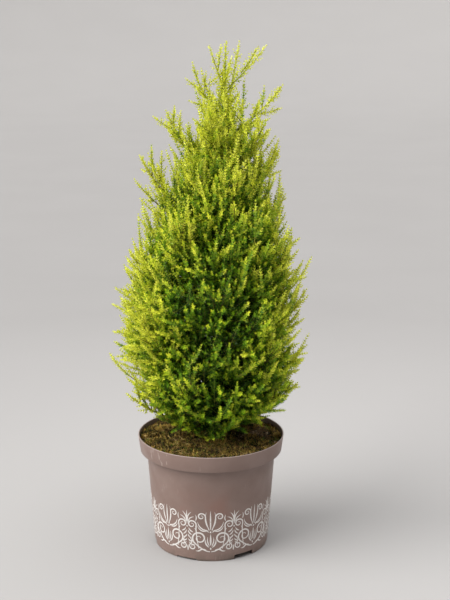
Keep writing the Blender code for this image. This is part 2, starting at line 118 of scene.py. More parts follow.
def new_mesh(name, verts, faces, edges=()):
    mesh = bpy.data.meshes.new(name)
    mesh.from_pydata([tuple(vert) for vert in verts], edges, faces)
    return mesh


def mesh_of(name, shape):
    """A bmesh made into a mesh. The bmesh itself is freed."""
    mesh = bpy.data.meshes.new(name)
    shape.to_mesh(mesh)
    shape.free()
    return mesh


def new_piece(name, mesh, *materials):
    mesh.name = name
    for material in materials:
        mesh.materials.append(material)
    piece = bpy.data.objects.new(name, mesh)
    bpy.context.scene.collection.objects.link(piece)
    return piece


def finish_piece(piece, nodes=()):
    """Join a piece to the body, and hide the CAD nodes that it stands for."""
    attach(piece, "root")
    if nodes:
        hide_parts(*nodes)
    piece.data.calc_loop_triangles()
    print(f"{piece.name}: {len(piece.data.loop_triangles)} triangles")


def plain_mesh(thing):
    """The object as its modifiers make it, as a new plain mesh. The object itself goes."""
    bpy.context.view_layer.update()
    finished = thing.evaluated_get(bpy.context.evaluated_depsgraph_get())
    mesh = bpy.data.meshes.new_from_object(finished)
    bpy.data.objects.remove(thing, do_unlink=True)
    return mesh


# %% [markdown]
# ## Building node trees
# Materials and geometry trees are both made of nodes. One helper adds a node and fills its sockets:
# a value is set, and an output of another node is linked.

# %% Helpers for nodes
def add(tree, kind, settings=None, **sockets):
    """A new node with its settings, and with sockets filled by identifier or name."""
    node = tree.nodes.new(kind)
    for name, value in (settings or {}).items():
        setattr(node, name, value)
    for name, value in sockets.items():
        fill(tree, socket_of(node.inputs, name), value)
    return node


def socket_of(sockets, name):
    """The socket with an identifier, or with a name whose spaces are written as underscores."""
    return next(s for s in sockets if s.identifier == name or s.name == name.replace("_", " "))


def fill(tree, socket, value):
    """Link an output, or a node's first output, to a socket, or else set the socket's value."""
    if isinstance(value, bpy.types.Node):
        value = value.outputs[0]
    if isinstance(value, bpy.types.NodeSocket):
        tree.links.new(value, socket)
    else:
        socket.default_value = value


def new_tree(name, kind, inputs, outputs):
    """A node group from (name, kind, value) of each input, with what it is given and what it gives."""
    tree = bpy.data.node_groups.new(name, kind)
    for label, socket_kind, *value in inputs:
        socket = tree.interface.new_socket(label, in_out="INPUT", socket_type="NodeSocket" + socket_kind)
        if value:
            socket.default_value = value[0]
    for label, socket_kind in outputs:
        tree.interface.new_socket(label, in_out="OUTPUT", socket_type="NodeSocket" + socket_kind)
    return tree, tree.nodes.new("NodeGroupInput").outputs, tree.nodes.new("NodeGroupOutput").inputs


def grown(name, mesh, tree, **values):
    """The mesh that a geometry tree makes of another mesh, with the tree's inputs set by name."""
    guide = new_piece(name + "_guide", mesh)
    modifier = guide.modifiers.new("Grow", "NODES")
    modifier.node_group = tree
    for item in tree.interface.items_tree:
        if item.in_out == "INPUT" and item.name in values:
            modifier[item.identifier] = values[item.name]
    return plain_mesh(guide)


def new_finish(name):
    """A material to build up, with its tree and its shader."""
    made = bpy.data.materials.new(name)
    made.use_nodes = True
    return made, made.node_tree, made.node_tree.nodes["Principled BSDF"]


def surfaced(tree, shader, colour, roughness, specular=0.5):
    """Fill in what every finish has: its colour, its roughness and how strongly it reflects."""
    fill(tree, shader.inputs["Base Color"], colour)
    fill(tree, shader.inputs["Roughness"], roughness)
    shader.inputs["Specular IOR Level"].default_value = specular


def plain_finish(name, colour, roughness, specular=0.35):
    """A material of one base colour, for things so small that their shapes are their texture."""
    made, tree, shader = new_finish(name)
    surfaced(tree, shader, (*colour, 1), roughness, specular)
    made.diffuse_color = (*colour, 1)
    return made


# %% [markdown]
# ## Mottling, shared by several finishes
# Plastic, print, bark and compost all vary a little from place to place. One shader group makes that
# variation, as a value from 0 to 1 and as a height for bumps, stretched along Z where asked.

# %% The mottle group
mottle, group_in, group_out = new_tree(
    "mottle", "ShaderNodeTree",
    [("Scale", "Float", 60.0), ("Stretch", "Float", 1.0), ("Detail", "Float", 4.0),
     ("From", "Float", 0.35), ("To", "Float", 0.65)],
    [("Value", "Float"), ("Raw", "Float")],
)
place = add(mottle, "ShaderNodeTexCoord").outputs["Object"]
squeeze = add(mottle, "ShaderNodeCombineXYZ", X=1.0, Y=1.0, Z=group_in["Stretch"])
stretched = add(mottle, "ShaderNodeVectorMath", {"operation": "MULTIPLY"}, Vector=place,
                Vector_001=squeeze)
cloud = add(mottle, "ShaderNodeTexNoise", Vector=stretched, Scale=group_in["Scale"],
            Detail=group_in["Detail"])
spread = add(mottle, "ShaderNodeMapRange", Value=cloud, From_Min=group_in["From"], From_Max=group_in["To"])
mottle.links.new(spread.outputs[0], group_out["Value"])
mottle.links.new(cloud.outputs[0], group_out["Raw"])


def mottling(tree, **values):
    """A mottle node. Passed on as a node, it gives its value."""
    return add(tree, "ShaderNodeGroup", {"node_tree": mottle}, **values)


def mixed(tree, share, first, second):
    """Two colours mixed by a share."""
    node = add(tree, "ShaderNodeMix", {"data_type": "RGBA"}, Factor_Float=share, A_Color=first,
               B_Color=second)
    return socket_of(node.outputs, "Result_Color")


def math_node(tree, operation, first, second):
    return add(tree, "ShaderNodeMath", {"operation": operation}, Value=first, Value_001=second).outputs[0]


def times(tree, first, second):
    return math_node(tree, "MULTIPLY", first, second)


def bumped(tree, shader, height, depth):
    bump = add(tree, "ShaderNodeBump", Strength=1.0, Distance=depth, Height=height)
    tree.links.new(bump.outputs[0], shader.inputs["Normal"])


def object_height(tree):
    place = add(tree, "ShaderNodeTexCoord")
    return add(tree, "ShaderNodeSeparateXYZ", Vector=place.outputs["Object"]).outputs["Z"]


def band(tree, value, low, high):
    """A share that goes from 0 to 1 as a value goes from low to high."""
    return add(tree, "ShaderNodeMapRange", Value=value, From_Min=low, From_Max=high).outputs[0]


# %% [markdown]
# ## The pot
# A nursery pot is blown or pressed from thin recycled plastic: a tapering wall, a wide flat band
# round the top to stack and lift it by, and a foot ring with notches that let water out. Its shape is
# a profile turned about its axis, so the Screw modifier makes it. Real moulding has no sharp corners,
# so each corner of the profile is first rounded by a few points. The notches and drain holes are cut
# after that, because they are all that isn't round.

# %% Measures of the pot
POT_HEIGHT = 0.1485
RIM_RADIUS = 0.095
BAND_HEIGHT = 0.021
BAND_FOOT_RADIUS = 0.0922
WALL_TOP_RADIUS = 0.0838
WALL_FOOT_RADIUS = 0.0748
FOOT_CHAMFER = 0.003
FOOT_RADIUS = 0.074
WALL = 0.0016
FLOOR_CLEARANCE = 0.0075
PAD_RADIUS = 0.034
BAND_FOOT = POT_HEIGHT - BAND_HEIGHT
POT_STEPS = 160
NOTCH_HEIGHTS = (0.0065, 0.0065, 0.0065, 0.0065, 0.0025, 0.0065)
NOTCH_COUNT = len(NOTCH_HEIGHTS)
NOTCH_WIDTH = 0.029
NOTCH_TURN = math.radians(5)
NOTCH_ROUNDING = 0.0018
DRAIN_RADIUS = 0.005
DRAIN_RING_RADIUS = 0.054


def wall_radius(height):
    """The outer radius of the wall below the rim band."""
    share = (height - FOOT_CHAMFER) / (BAND_FOOT - FOOT_CHAMFER)
    return WALL_FOOT_RADIUS + share * (WALL_TOP_RADIUS - WALL_FOOT_RADIUS)


def inside_profile():
    floor = FLOOR_CLEARANCE + WALL
    return [
        (0, WALL),
        (PAD_RADIUS - WALL, WALL),
        (PAD_RADIUS, floor),
        (wall_radius(floor) - WALL, floor),
        (wall_radius(BAND_FOOT) - WALL, BAND_FOOT),
        (BAND_FOOT_RADIUS - WALL, BAND_FOOT + WALL),
        (RIM_RADIUS - WALL, POT_HEIGHT),
    ]


def outside_profile():
    return [
        (RIM_RADIUS, POT_HEIGHT),
        (BAND_FOOT_RADIUS, BAND_FOOT),
        (wall_radius(BAND_FOOT), BAND_FOOT + 0.0004),
        (WALL_FOOT_RADIUS, FOOT_CHAMFER),
        (FOOT_RADIUS, 0),
        (FOOT_RADIUS - WALL, 0),
        (FOOT_RADIUS - WALL, FLOOR_CLEARANCE),
        (PAD_RADIUS + WALL, FLOOR_CLEARANCE),
        (PAD_RADIUS, 0),
        (0, 0),
    ]


# %% Round the corners of a profile
CORNER = 0.0007
CORNER_POINTS = 4


def rounded(profile, radius, count):
    """Each corner of a profile swapped for a short curve that leaves it as far as the radius."""
    made = [profile[0]]
    for before, corner, after in zip(profile, profile[1:], profile[2:]):
        before, corner, after = Vector(before), Vector(corner), Vector(after)
        back, forth = before - corner, after - corner
        reach = min(radius, 0.45 * back.length, 0.45 * forth.length)
        start, end = corner + back.normalized() * reach, corner + forth.normalized() * reach
        for i in range(count):
            share = i / (count - 1)
            made.append(tuple(start.lerp(corner, share).lerp(corner.lerp(end, share), share)))
    return made + [profile[-1]]


def turned(name, profile, steps):
    """A profile of (radius, height), down its outer side, turned about Z into a mesh."""
    edges = [(i, i + 1) for i in range(len(profile) - 1)]
    thing = new_piece(name, new_mesh(name, [(r, 0, z) for r, z in profile], [], edges))
    screw = thing.modifiers.new("Turn", "SCREW")
    screw.steps = screw.render_steps = steps
    screw.use_merge_vertices = True
    screw.merge_threshold = 0.00001
    screw.use_smooth_shade = True
    return thing


# %% Turn the pot and cut its notches and holes
pot_profile = rounded(inside_profile() + outside_profile(), CORNER, CORNER_POINTS)
pot_guide = turned("pot_body", pot_profile, POT_STEPS)
cutters = bpy.data.collections.new("pot_cutters")
for index, notch_height in enumerate(NOTCH_HEIGHTS):
    turn = Matrix.Rotation(NOTCH_TURN + math.tau * index / NOTCH_COUNT, 4, "Z")
    notch = bmesh.new()
    bmesh.ops.create_cube(notch, size=1)
    # The two top edges that run outwards, which get rounded
    top_edges = [edge for edge in notch.edges if all(vert.co.z > 0.49 for vert in edge.verts)
                 and abs(edge.verts[0].co.x - edge.verts[1].co.x) > 0.5]
    notch.transform(Matrix.Diagonal((8 * WALL, NOTCH_WIDTH, 2 * notch_height, 1)))
    bmesh.ops.bevel(notch, geom=top_edges, offset=NOTCH_ROUNDING, segments=4, profile=0.5, affect="EDGES")
    notch.transform(turn @ Matrix.Translation((FOOT_RADIUS, 0, 0)))
    drain = bmesh.new()
    bmesh.ops.create_cone(drain, cap_ends=True, segments=32, radius1=DRAIN_RADIUS, radius2=DRAIN_RADIUS,
                          depth=8 * WALL)
    drain.transform(turn @ Matrix.Translation((DRAIN_RING_RADIUS, 0, FLOOR_CLEARANCE)))
    for shape in (notch, drain):
        cutters.objects.link(bpy.data.objects.new("cutter", mesh_of("cutter", shape)))
cut = pot_guide.modifiers.new("Cuts", "BOOLEAN")
cut.operation = "DIFFERENCE"
cut.operand_type = "COLLECTION"
cut.collection = cutters
cut.solver = "EXACT"
pot_mesh = plain_mesh(pot_guide)
for cutter in list(cutters.objects):
    bpy.data.objects.remove(cutter, do_unlink=True)
pot_mesh.shade_smooth()
pot_mesh.set_sharp_from_angle(angle=math.radians(35))

# %% [markdown]
# ## The pot's plastic
# Recycled taupe plastic is satin, not glossy. It has faint cloudy flow marks, a few pale scuffs from
# stacking, a reddish blush low on the body, and a dusty foot, and a paler line along the lip's top edge
# is a painted highlight. Each of these is a mask that mixes one more colour in, so each can be turned up
# or down by itself.

# %% Taupe plastic
TAUPE = (0.226, 0.157, 0.134, 1)
TAUPE_DARK = (0.205, 0.138, 0.116, 1)
TAUPE_PALE = (0.34, 0.27, 0.245, 1)
BLUSH = (0.228, 0.131, 0.106, 1)
FOOT_DUST = (0.140, 0.105, 0.085, 1)
pot_plastic, tree, shader = new_finish("pot_plastic")
clouds = mottling(tree, Scale=34.0, Detail=5.0, From=0.36, To=0.64)
colour = mixed(tree, clouds, TAUPE_DARK, TAUPE)
height = object_height(tree)
low_body = math_node(tree, "SUBTRACT", band(tree, height, 0.02, 0.07), band(tree, height, 0.075, 0.11))
patches = mottling(tree, Scale=19.0, Detail=3.0, From=0.48, To=0.68)
colour = mixed(tree, times(tree, low_body, patches), colour, BLUSH)
grime = mottling(tree, Scale=75.0, Detail=6.0, From=0.42, To=0.62)
foot = math_node(tree, "SUBTRACT", 1.0, band(tree, height, 0.001, 0.011))
colour = mixed(tree, times(tree, foot, grime), colour, FOOT_DUST)
scratches = mottling(tree, Scale=300.0, Stretch=0.22, Detail=2.0, From=0.64, To=0.68)
scuff_area = mottling(tree, Scale=26.0, Detail=1.0, From=0.52, To=0.60)
on_band = band(tree, height, 0.126, 0.129)
scuff_strength = math_node(tree, "ADD", times(tree, on_band, 0.7), 0.25)
scuffs = times(tree, times(tree, scratches, scuff_area), scuff_strength)
colour = mixed(tree, scuffs, colour, TAUPE_PALE)
# Painted highlight: a paler line along the lip's top edge, where the rim catches the light
lip_highlight = band(tree, height, POT_HEIGHT - 0.0011, POT_HEIGHT - 0.0002)
colour = mixed(tree, times(tree, lip_highlight, 0.75), colour, TAUPE_PALE)
sheen = add(tree, "ShaderNodeMapRange", Value=clouds, To_Min=0.52, To_Max=0.40)
surfaced(tree, shader, colour, sheen)
grain = mottling(tree, Scale=900.0, Detail=2.0)
bumped(tree, shader, grain.outputs["Raw"], 0.00008)

finish_piece(new_piece("pot_body", pot_mesh, pot_plastic), ["pot"])

# %% [markdown]
# ## The frieze on the pot
# The pot carries a white printed frieze. This one is a plain traditional palmette and scroll, the
# kind found on borders everywhere, repeated eight times. Every stroke is drawn flat, as a line with a
# width that swells and tapers, and is laid on the wall as a very thin skin of ink. One unit is made
# in mesh code. A geometry tree then turns copies of it round the pot.

# %% Strokes of one unit, in millimetres across and up
UNITS = 8
FRIEZE_FOOT = 0.0130
PRINT_RADIUS = wall_radius(0.035)
UNIT_WIDTH = math.tau * PRINT_RADIUS * 1000 / UNITS
INK = 0.00012


def leaf(start, end, bulge, width, count=12):
    """A pointed leaf whose middle line bows to one side."""
    start, end = np.array(start, float), np.array(end, float)
    across = np.array([start[1] - end[1], end[0] - start[0]])
    share = np.linspace(0, 1, count)[:, None]
    line = start + (end - start) * share + across * bulge * 4 * share * (1 - share)
    return line, width * np.sin(np.pi * share[:, 0] ** 0.8) ** 0.75


def scroll(start, centre, radius, turns, first, width, count=34):
    """A stem that leaves its start and winds into a volute."""
    share = np.linspace(0, 1, count)
    size = radius * (1 - 0.80 * share)
    angle = math.radians(first) + math.tau * turns * share
    wound = np.array(centre) + np.stack([size * np.cos(angle), size * np.sin(angle)], 1)
    lead = np.linspace(0, 1, 9)[:-1, None]
    reach = wound[0] - (wound[1] - wound[0]) * 5
    stem = np.array(start) * (1 - lead) ** 2 + reach * 2 * lead * (1 - lead) + wound[0] * lead**2
    line = np.concatenate([stem, wound])
    along = np.linspace(0, 1, len(line))
    return line, width * (0.45 + 0.75 * np.sin(np.pi * np.clip(along * 1.1 + 0.08, 0, 1)))


def drop(centre, radius):
    return leaf((centre[0], centre[1] - radius), (centre[0], centre[1] + radius), 0, 1.3 * radius, 9)


HALF = UNIT_WIDTH / 2
right_side = [
    scroll((0.8, 1.0), (14.5, 19.5), 9.8, 1.6, -62, 1.7),
    scroll((15.5, 5.0), (24.0, 38.5), 6.0, -1.4, 200, 1.45),
    scroll((HALF - 1.0, 22.0), (23.6, 7.2), 4.8, -1.3, 60, 1.3),
    leaf((1.2, 32.0), (5.0, 57.0), -0.12, 1.5),
    scroll((1.8, 31.2), (11.4, 50.2), 5.2, -1.35, 190, 1.35),
    leaf((2.8, 30.8), (16.4, 43.0), -0.20, 1.6),
    leaf((4.2, 30.2), (16.6, 37.0), -0.22, 1.5),
    leaf((2.4, 28.0), (8.8, 32.0), 0.16, 1.3),
    leaf((1.8, 7.0), (6.6, 18.5), -0.16, 1.8),
    leaf((1.2, 8.5), (3.6, 22.0), -0.10, 1.4),
    leaf((5.6, 3.2), (15.0, 1.0), 0.20, 1.6),
    leaf((11.5, 6.4), (19.6, 1.4), -0.22, 1.8),
    leaf((20.4, 10.4), (28.6, 13.6), -0.22, 1.6),
    leaf((23.4, 14.4), (HALF - 0.9, 17.6), -0.18, 1.7),
    leaf((24.6, 19.0), (HALF - 0.8, 24.0), -0.16, 1.7),
    leaf((24.2, 23.4), (HALF - 1.0, 30.2), -0.14, 1.7),
    leaf((22.4, 27.6), (28.4, 33.6), -0.14, 1.6),
    leaf((18.4, 27.4), (20.8, 33.4), 0.18, 1.3),
    leaf((HALF - 1.2, 42.0), (HALF - 6.0, 55.5), -0.16, 1.4),
    leaf((HALF - 1.8, 40.5), (HALF - 9.6, 49.4), -0.20, 1.3),
    leaf((19.2, 43.5), (19.0, 52.5), 0.14, 1.2),
]
middle = [
    leaf((0, 31.5), (0, 58.5), 0, 1.8),
    leaf((0, 9.5), (0, 26.0), 0, 2.2),
    drop((0, 5.4), 1.6),
    drop((0, 28.8), 1.5),
    leaf((HALF, 38.5), (HALF, 57.5), 0, 1.6),
    drop((HALF, 35.4), 1.3),
    leaf((HALF, 1.0), (HALF, 9.0), 0, 1.8),
]
left_side = [(line * [-1, 1], width) for line, width in right_side]


# %% Strokes as strips of ink
LEAST_STROKE = 0.12


def unit(rows):
    """Each row of an array as a vector of length one."""
    return rows / np.linalg.norm(rows, axis=1)[:, None]


def ring_walls(rings, steps, first=0):
    """The quads between rings of corners, which are numbered ring after ring."""
    walls = []
    for low in range(first, first + (rings - 1) * steps, steps):
        for step in range(steps):
            after = (step + 1) % steps
            walls.append((low + step, low + after, low + steps + after, low + steps + step))
    return walls


def on_the_wall(across, up, proud):
    """A place on the pot from its millimetres across and up."""
    height = FRIEZE_FOOT + up / 1000
    turn = across / 1000 / PRINT_RADIUS - math.pi / 2
    radius = wall_radius(height) + proud
    return radius * math.cos(turn), radius * math.sin(turn), height


def inked(strokes):
    """Every stroke as a closed strip, a little proud of the wall and a little sunk in it."""
    verts, faces = [], []
    for line, width in strokes:
        way = np.gradient(line, axis=0)
        aside = unit(np.stack([-way[:, 1], way[:, 0]], 1)) * (np.maximum(width, LEAST_STROKE)[:, None] / 2)
        first = len(verts)
        for centre, reach in zip(line, aside):
            verts += [on_the_wall(*(centre + side * reach), proud)
                      for side, proud in ((-1, INK), (1, INK), (1, -INK), (-1, -INK))]
        faces += ring_walls(len(line), 4, first)
        last = len(verts) - 4
        faces += [(first + 3, first + 2, first + 1, first), (last, last + 1, last + 2, last + 3)]
    return new_mesh("frieze_unit", verts, faces)


# %% White ink
INK_WHITE = (0.68, 0.655, 0.63, 1)
white_ink, tree, shader = new_finish("white_ink")
worn = mottling(tree, Scale=210.0, Detail=5.0, From=0.60, To=0.74)
colour = mixed(tree, times(tree, worn, 0.65), INK_WHITE, TAUPE_PALE)
surfaced(tree, shader, colour, math_node(tree, "ADD", 0.42, times(tree, worn, 0.2)))

# %% Turn the unit round the pot
round_tree, tree_in, tree_out = new_tree(
    "round_the_pot", "GeometryNodeTree",
    [("Unit", "Geometry"), ("Copies", "Int", 1), ("Ink", "Material")],
    [("Frieze", "Geometry")],
)
stops = add(round_tree, "GeometryNodePoints", Count=tree_in["Copies"])
share = math_node(round_tree, "DIVIDE", add(round_tree, "GeometryNodeInputIndex"), tree_in["Copies"])
rotation = add(round_tree, "FunctionNodeAxisAngleToRotation", Axis=(0, 0, 1),
               Angle=times(round_tree, share, math.tau))
copies = add(round_tree, "GeometryNodeInstanceOnPoints", Points=stops, Instance=tree_in["Unit"],
             Rotation=rotation)
real = add(round_tree, "GeometryNodeRealizeInstances", Geometry=copies)
coloured = add(round_tree, "GeometryNodeSetMaterial", Geometry=real, Material=tree_in["Ink"])
round_tree.links.new(coloured.outputs[0], tree_out[0])

frieze_mesh = grown("frieze", inked(right_side + left_side + middle), round_tree, Copies=UNITS, Ink=white_ink)
finish_piece(new_piece("pot_frieze", frieze_mesh))

# %% [markdown]
# ## The compost
# Compost fills the pot to less than a centimetre under the lip. It is lumpy, dark and bare at the
# right and the back, and moss has grown over the rest. The piece follows the pot's inside, so no gap
# shows through the drain holes. Its top is a round grid of points lifted by noise.

# %% Compost body
GAP = 0.0003
SOIL_EDGE = 0.1400
SOIL_TOP = 0.1430
SOIL_FLAT_RADIUS = 0.016
SOIL_RINGS = 46
SOIL_STEPS = 120
MOSS_DEPTH = 0.0028


def soil_side():
    """The compost's side and underside, from its edge down to the middle of the floor."""
    inside = inside_profile()
    slope = (inside[6][0] - inside[5][0]) / (inside[6][1] - inside[5][1])
    return [
        (inside[5][0] + slope * (SOIL_EDGE - inside[5][1]) - 2 * GAP, SOIL_EDGE),
        (inside[5][0] - 2 * GAP, inside[5][1] + GAP),
        (inside[4][0] - 2 * GAP, BAND_FOOT + GAP),
        (inside[3][0] - 2 * GAP, inside[3][1] + GAP),
        (inside[2][0] - GAP, inside[2][1] + GAP),
        (inside[1][0] - 2 * GAP, inside[1][1] + GAP),
        (0, inside[0][1] + GAP),
    ]


SOIL_RADIUS = soil_side()[0][0]


def mossiness(x, y):
    """How much moss grows at a place, from 0 to 1: most at the left and the front."""
    side = -0.30 * x / SOIL_RADIUS - 0.30 * y / SOIL_RADIUS
    return min(1.0, max(0.0, 0.55 + side + 1.3 * noise.noise((38 * x + 5, 38 * y, 2))))


def soil_height(x, y):
    """The lumpy surface, which follows the CAD solid's gentle mound."""
    away = math.hypot(x, y)
    mound = np.interp(away, [0, SOIL_FLAT_RADIUS, 0.65 * SOIL_RADIUS, SOIL_RADIUS],
                      [SOIL_TOP, SOIL_TOP, (SOIL_EDGE + SOIL_TOP) / 2 + 0.0005, SOIL_EDGE])
    lumps = 0.0016 * noise.noise((55 * x, 55 * y, 3)) + 0.0015 * noise.noise((150 * x, 150 * y, 7))
    return mound + lumps + 0.0006 * noise.noise((420 * x, 420 * y, 1)) + MOSS_DEPTH * (mossiness(x, y) - 0.5)


# Each ring has a radius and a height. On the lumpy top the height is worked out for every point
verts, faces, moss_shares = [(0, 0, soil_height(0, 0))], [], [0.0]
rings = [(SOIL_RADIUS * i / SOIL_RINGS, None) for i in range(1, SOIL_RINGS + 1)] + soil_side()[1:-1]
for radius, height in rings:
    for step in range(SOIL_STEPS):
        turn = math.tau * step / SOIL_STEPS
        x, y = radius * math.cos(turn), radius * math.sin(turn)
        verts.append((x, y, soil_height(x, y) if height is None else height))
        moss_shares.append(mossiness(x, y) if height is None else 0.0)
faces += [(0, 1 + i, 1 + (i + 1) % SOIL_STEPS) for i in range(SOIL_STEPS)]
faces += [(a, d, c, b) for a, b, c, d in ring_walls(len(rings), SOIL_STEPS, 1)]
verts.append((0, 0, soil_side()[-1][1]))
moss_shares.append(0.0)
last = 1 + (len(rings) - 1) * SOIL_STEPS
faces += [(last + (i + 1) % SOIL_STEPS, last + i, len(verts) - 1) for i in range(SOIL_STEPS)]
bare_shares = [1 - share if z > SOIL_EDGE - 0.003 else 0.0 for share, (x, y, z) in zip(moss_shares, verts)]
soil_mesh = new_mesh("compost", verts, faces)
soil_mesh.shade_smooth()
for name, shares in (("mossy", moss_shares), ("bare", bare_shares)):
    soil_mesh.attributes.new(name, "FLOAT", "POINT").data.foreach_set("value", shares)

# %% Compost finish
DARK_PEAT = (0.020, 0.012, 0.006, 1)
BROWN_PEAT = (0.180, 0.108, 0.050, 1)
DAMP_PEAT = (0.055, 0.045, 0.012, 1)
compost, tree, shader = new_finish("compost")
crumbly = mottling(tree, Scale=330.0, Detail=8.0, From=0.38, To=0.66)
damp = mottling(tree, Scale=45.0, Detail=4.0, From=0.35, To=0.65)
colour = mixed(tree, crumbly, DARK_PEAT, BROWN_PEAT)
colour = mixed(tree, times(tree, damp, 0.4), colour, DAMP_PEAT)
surfaced(tree, shader, colour, 0.95, 0.2)
bumped(tree, shader, crumbly.outputs["Raw"], 0.0012)

# %% [markdown]
# ## What lies and grows on the compost
# Moss is thousands of small tufts, so one tuft is modelled and scattered, mostly brown and golden
# because it is dry, with a little fresh green. The same geometry tree scatters the tufts, the crumbs
# and the dead straw. It takes a density, a seed, a size range and how far a copy may lean, and deals
# out three finishes in clumps.

# %% The scatter tree
CLUMPS = 170.0
# Each finish is dealt to copies whose draw is above a limit, in this order
DEALS = (("First", -9.0), ("Second", 0.20), ("Third", 0.42))
scatter, tree_in, tree_out = new_tree(
    "scatter", "GeometryNodeTree",
    [("Ground", "Geometry"), ("Thing", "Object"), ("Density", "Float", 1000.0), ("Seed", "Int", 1),
     ("Smallest", "Float", 0.7), ("Largest", "Float", 1.3), ("Lean", "Float", 0.5), ("First", "Material"),
     ("Second", "Material"), ("Third", "Material"), ("Where", "String", "mossy")],
    [("Scattered", "Geometry")],
)


def chance(low, high, salt):
    """A random value for each copy. The salt keeps the draws of one seed apart."""
    seed = add(scatter, "FunctionNodeIntegerMath", {"operation": "ADD"}, Value=tree_in["Seed"],
               Value_001=salt)
    node = add(scatter, "FunctionNodeRandomValue", {"data_type": "FLOAT"}, Min_001=low, Max_001=high,
               Seed=seed)
    return socket_of(node.outputs, "Value_001")


def stored(tree, name, kind="FLOAT"):
    return add(tree, "GeometryNodeInputNamedAttribute", {"data_type": kind}, Name=name)


where = stored(scatter, tree_in["Where"])
places = add(scatter, "GeometryNodeDistributePointsOnFaces", Mesh=tree_in["Ground"],
             Density=times(scatter, tree_in["Density"], where), Seed=tree_in["Seed"])
lean_back = times(scatter, tree_in["Lean"], -1.0)
tilt = add(scatter, "ShaderNodeCombineXYZ", X=chance(lean_back, tree_in["Lean"], 1),
           Y=chance(lean_back, tree_in["Lean"], 2), Z=chance(0.0, math.tau, 3))
rotation = add(scatter, "FunctionNodeEulerToRotation", Euler=tilt)
thing = add(scatter, "GeometryNodeObjectInfo", Object=tree_in["Thing"])
copies = add(scatter, "GeometryNodeInstanceOnPoints", Points=places, Instance=thing.outputs["Geometry"],
             Rotation=rotation, Scale=chance(tree_in["Smallest"], tree_in["Largest"], 4))
clump = add(scatter, "ShaderNodeTexNoise", Scale=CLUMPS, Detail=2.0).outputs[0]
clump = times(scatter, math_node(scatter, "SUBTRACT", clump, 0.38), 1.8)
deal = math_node(scatter, "ADD", clump, chance(-0.30, 0.30, 5))
dealt = add(scatter, "GeometryNodeStoreNamedAttribute", {"data_type": "FLOAT", "domain": "INSTANCE"},
            Geometry=copies, Name="deal", Value=deal)
flow = add(scatter, "GeometryNodeRealizeInstances", Geometry=dealt)
for label, least in DEALS:
    chosen = add(scatter, "FunctionNodeCompare", {"data_type": "FLOAT", "operation": "GREATER_THAN"},
                 A=stored(scatter, "deal"), B=least)
    flow = add(scatter, "GeometryNodeSetMaterial", Geometry=flow, Selection=chosen, Material=tree_in[label])
scatter.links.new(flow.outputs[0], tree_out[0])


# %% A tuft, a crumb and a straw
TUFT_BLADES, TUFT_LENGTH, TUFT_WIDTH, TUFT_SUNK = 7, 0.0066, 0.0011, 0.0004


def outward(direction):
    """Level, towards a direction round the Z axis."""
    return Vector((math.cos(direction), math.sin(direction), 0))


def folded_blade(direction, lean, length, width, fold, widest, foot_out=0.0):
    """The four corners of a pointed blade that leans out to a side and is folded along its middle."""
    out = outward(direction)
    aim = out * math.sin(lean) + UP * math.cos(lean)
    aside = UP.cross(out) * (width / 2)
    lift = (UP * math.sin(lean) - out * math.cos(lean)) * (width * fold)
    foot = out * foot_out
    middle = foot + aim * (length * widest) + lift
    return [foot, middle + aside, foot + aim * length, middle - aside]


def blades_mesh(name, corners):
    """A mesh of blades from four corners each: two faces a blade."""
    faces = []
    for first in range(0, len(corners), 4):
        faces += [(first, first + 1, first + 2), (first, first + 2, first + 3)]
    return new_mesh(name, corners, faces)


rng = random.Random(5)
corners = []
for index in range(TUFT_BLADES):
    spin = math.tau * index / TUFT_BLADES + rng.uniform(-0.4, 0.4)
    lean = rng.uniform(0.50, 1.35)
    corners += folded_blade(spin, lean, TUFT_LENGTH * rng.uniform(0.7, 1.15), TUFT_WIDTH, 0.25, 0.4)
    corners[-4] = Vector((0, 0, -TUFT_SUNK))
tuft = new_piece("tuft", blades_mesh("tuft", corners))
crumb_shape = bmesh.new()
bmesh.ops.create_icosphere(crumb_shape, subdivisions=1, radius=0.0013)
for vert in crumb_shape.verts:
    vert.co *= 1 + 0.5 * noise.noise(vert.co * 900)
    vert.co.z *= 0.7
crumb = new_piece("crumb", mesh_of("crumb", crumb_shape))
straw = new_piece("straw", new_mesh(
    "straw",
    [(-0.007, 0, 0.0022), (0, 0.0004, 0.0032), (0.008, 0.0006, 0.0024), (0, -0.0004, 0.0031), (0, 0, 0.0037)],
    [(0, 4, 1), (0, 3, 4), (1, 4, 2), (4, 3, 2), (0, 1, 3), (1, 2, 3)],
))

# %% Moss, crumbs and straw
olive = plain_finish("moss_olive", (0.215, 0.135, 0.022), 0.8)
golden = plain_finish("moss_golden", (0.53, 0.355, 0.080), 0.75)
dark_moss = plain_finish("moss_dark", (0.018, 0.014, 0.003), 0.85)
deep_green = plain_finish("moss_deep_green", (0.045, 0.085, 0.008), 0.8)
fresh_green = plain_finish("moss_fresh_green", (0.130, 0.230, 0.018), 0.75)
pale_green = plain_finish("moss_pale_green", (0.260, 0.330, 0.045), 0.75)
brown = plain_finish("crumb_brown", (0.150, 0.085, 0.038), 0.9)
black = plain_finish("crumb_black", (0.018, 0.011, 0.007), 0.95)
tan = plain_finish("crumb_tan", (0.37, 0.275, 0.175), 0.9)
dry = plain_finish("straw_dry", (0.56, 0.395, 0.145), 0.7)
rust = plain_finish("straw_rust", (0.20, 0.105, 0.030), 0.75)
dull = plain_finish("straw_dull", (0.26, 0.18, 0.060), 0.75)


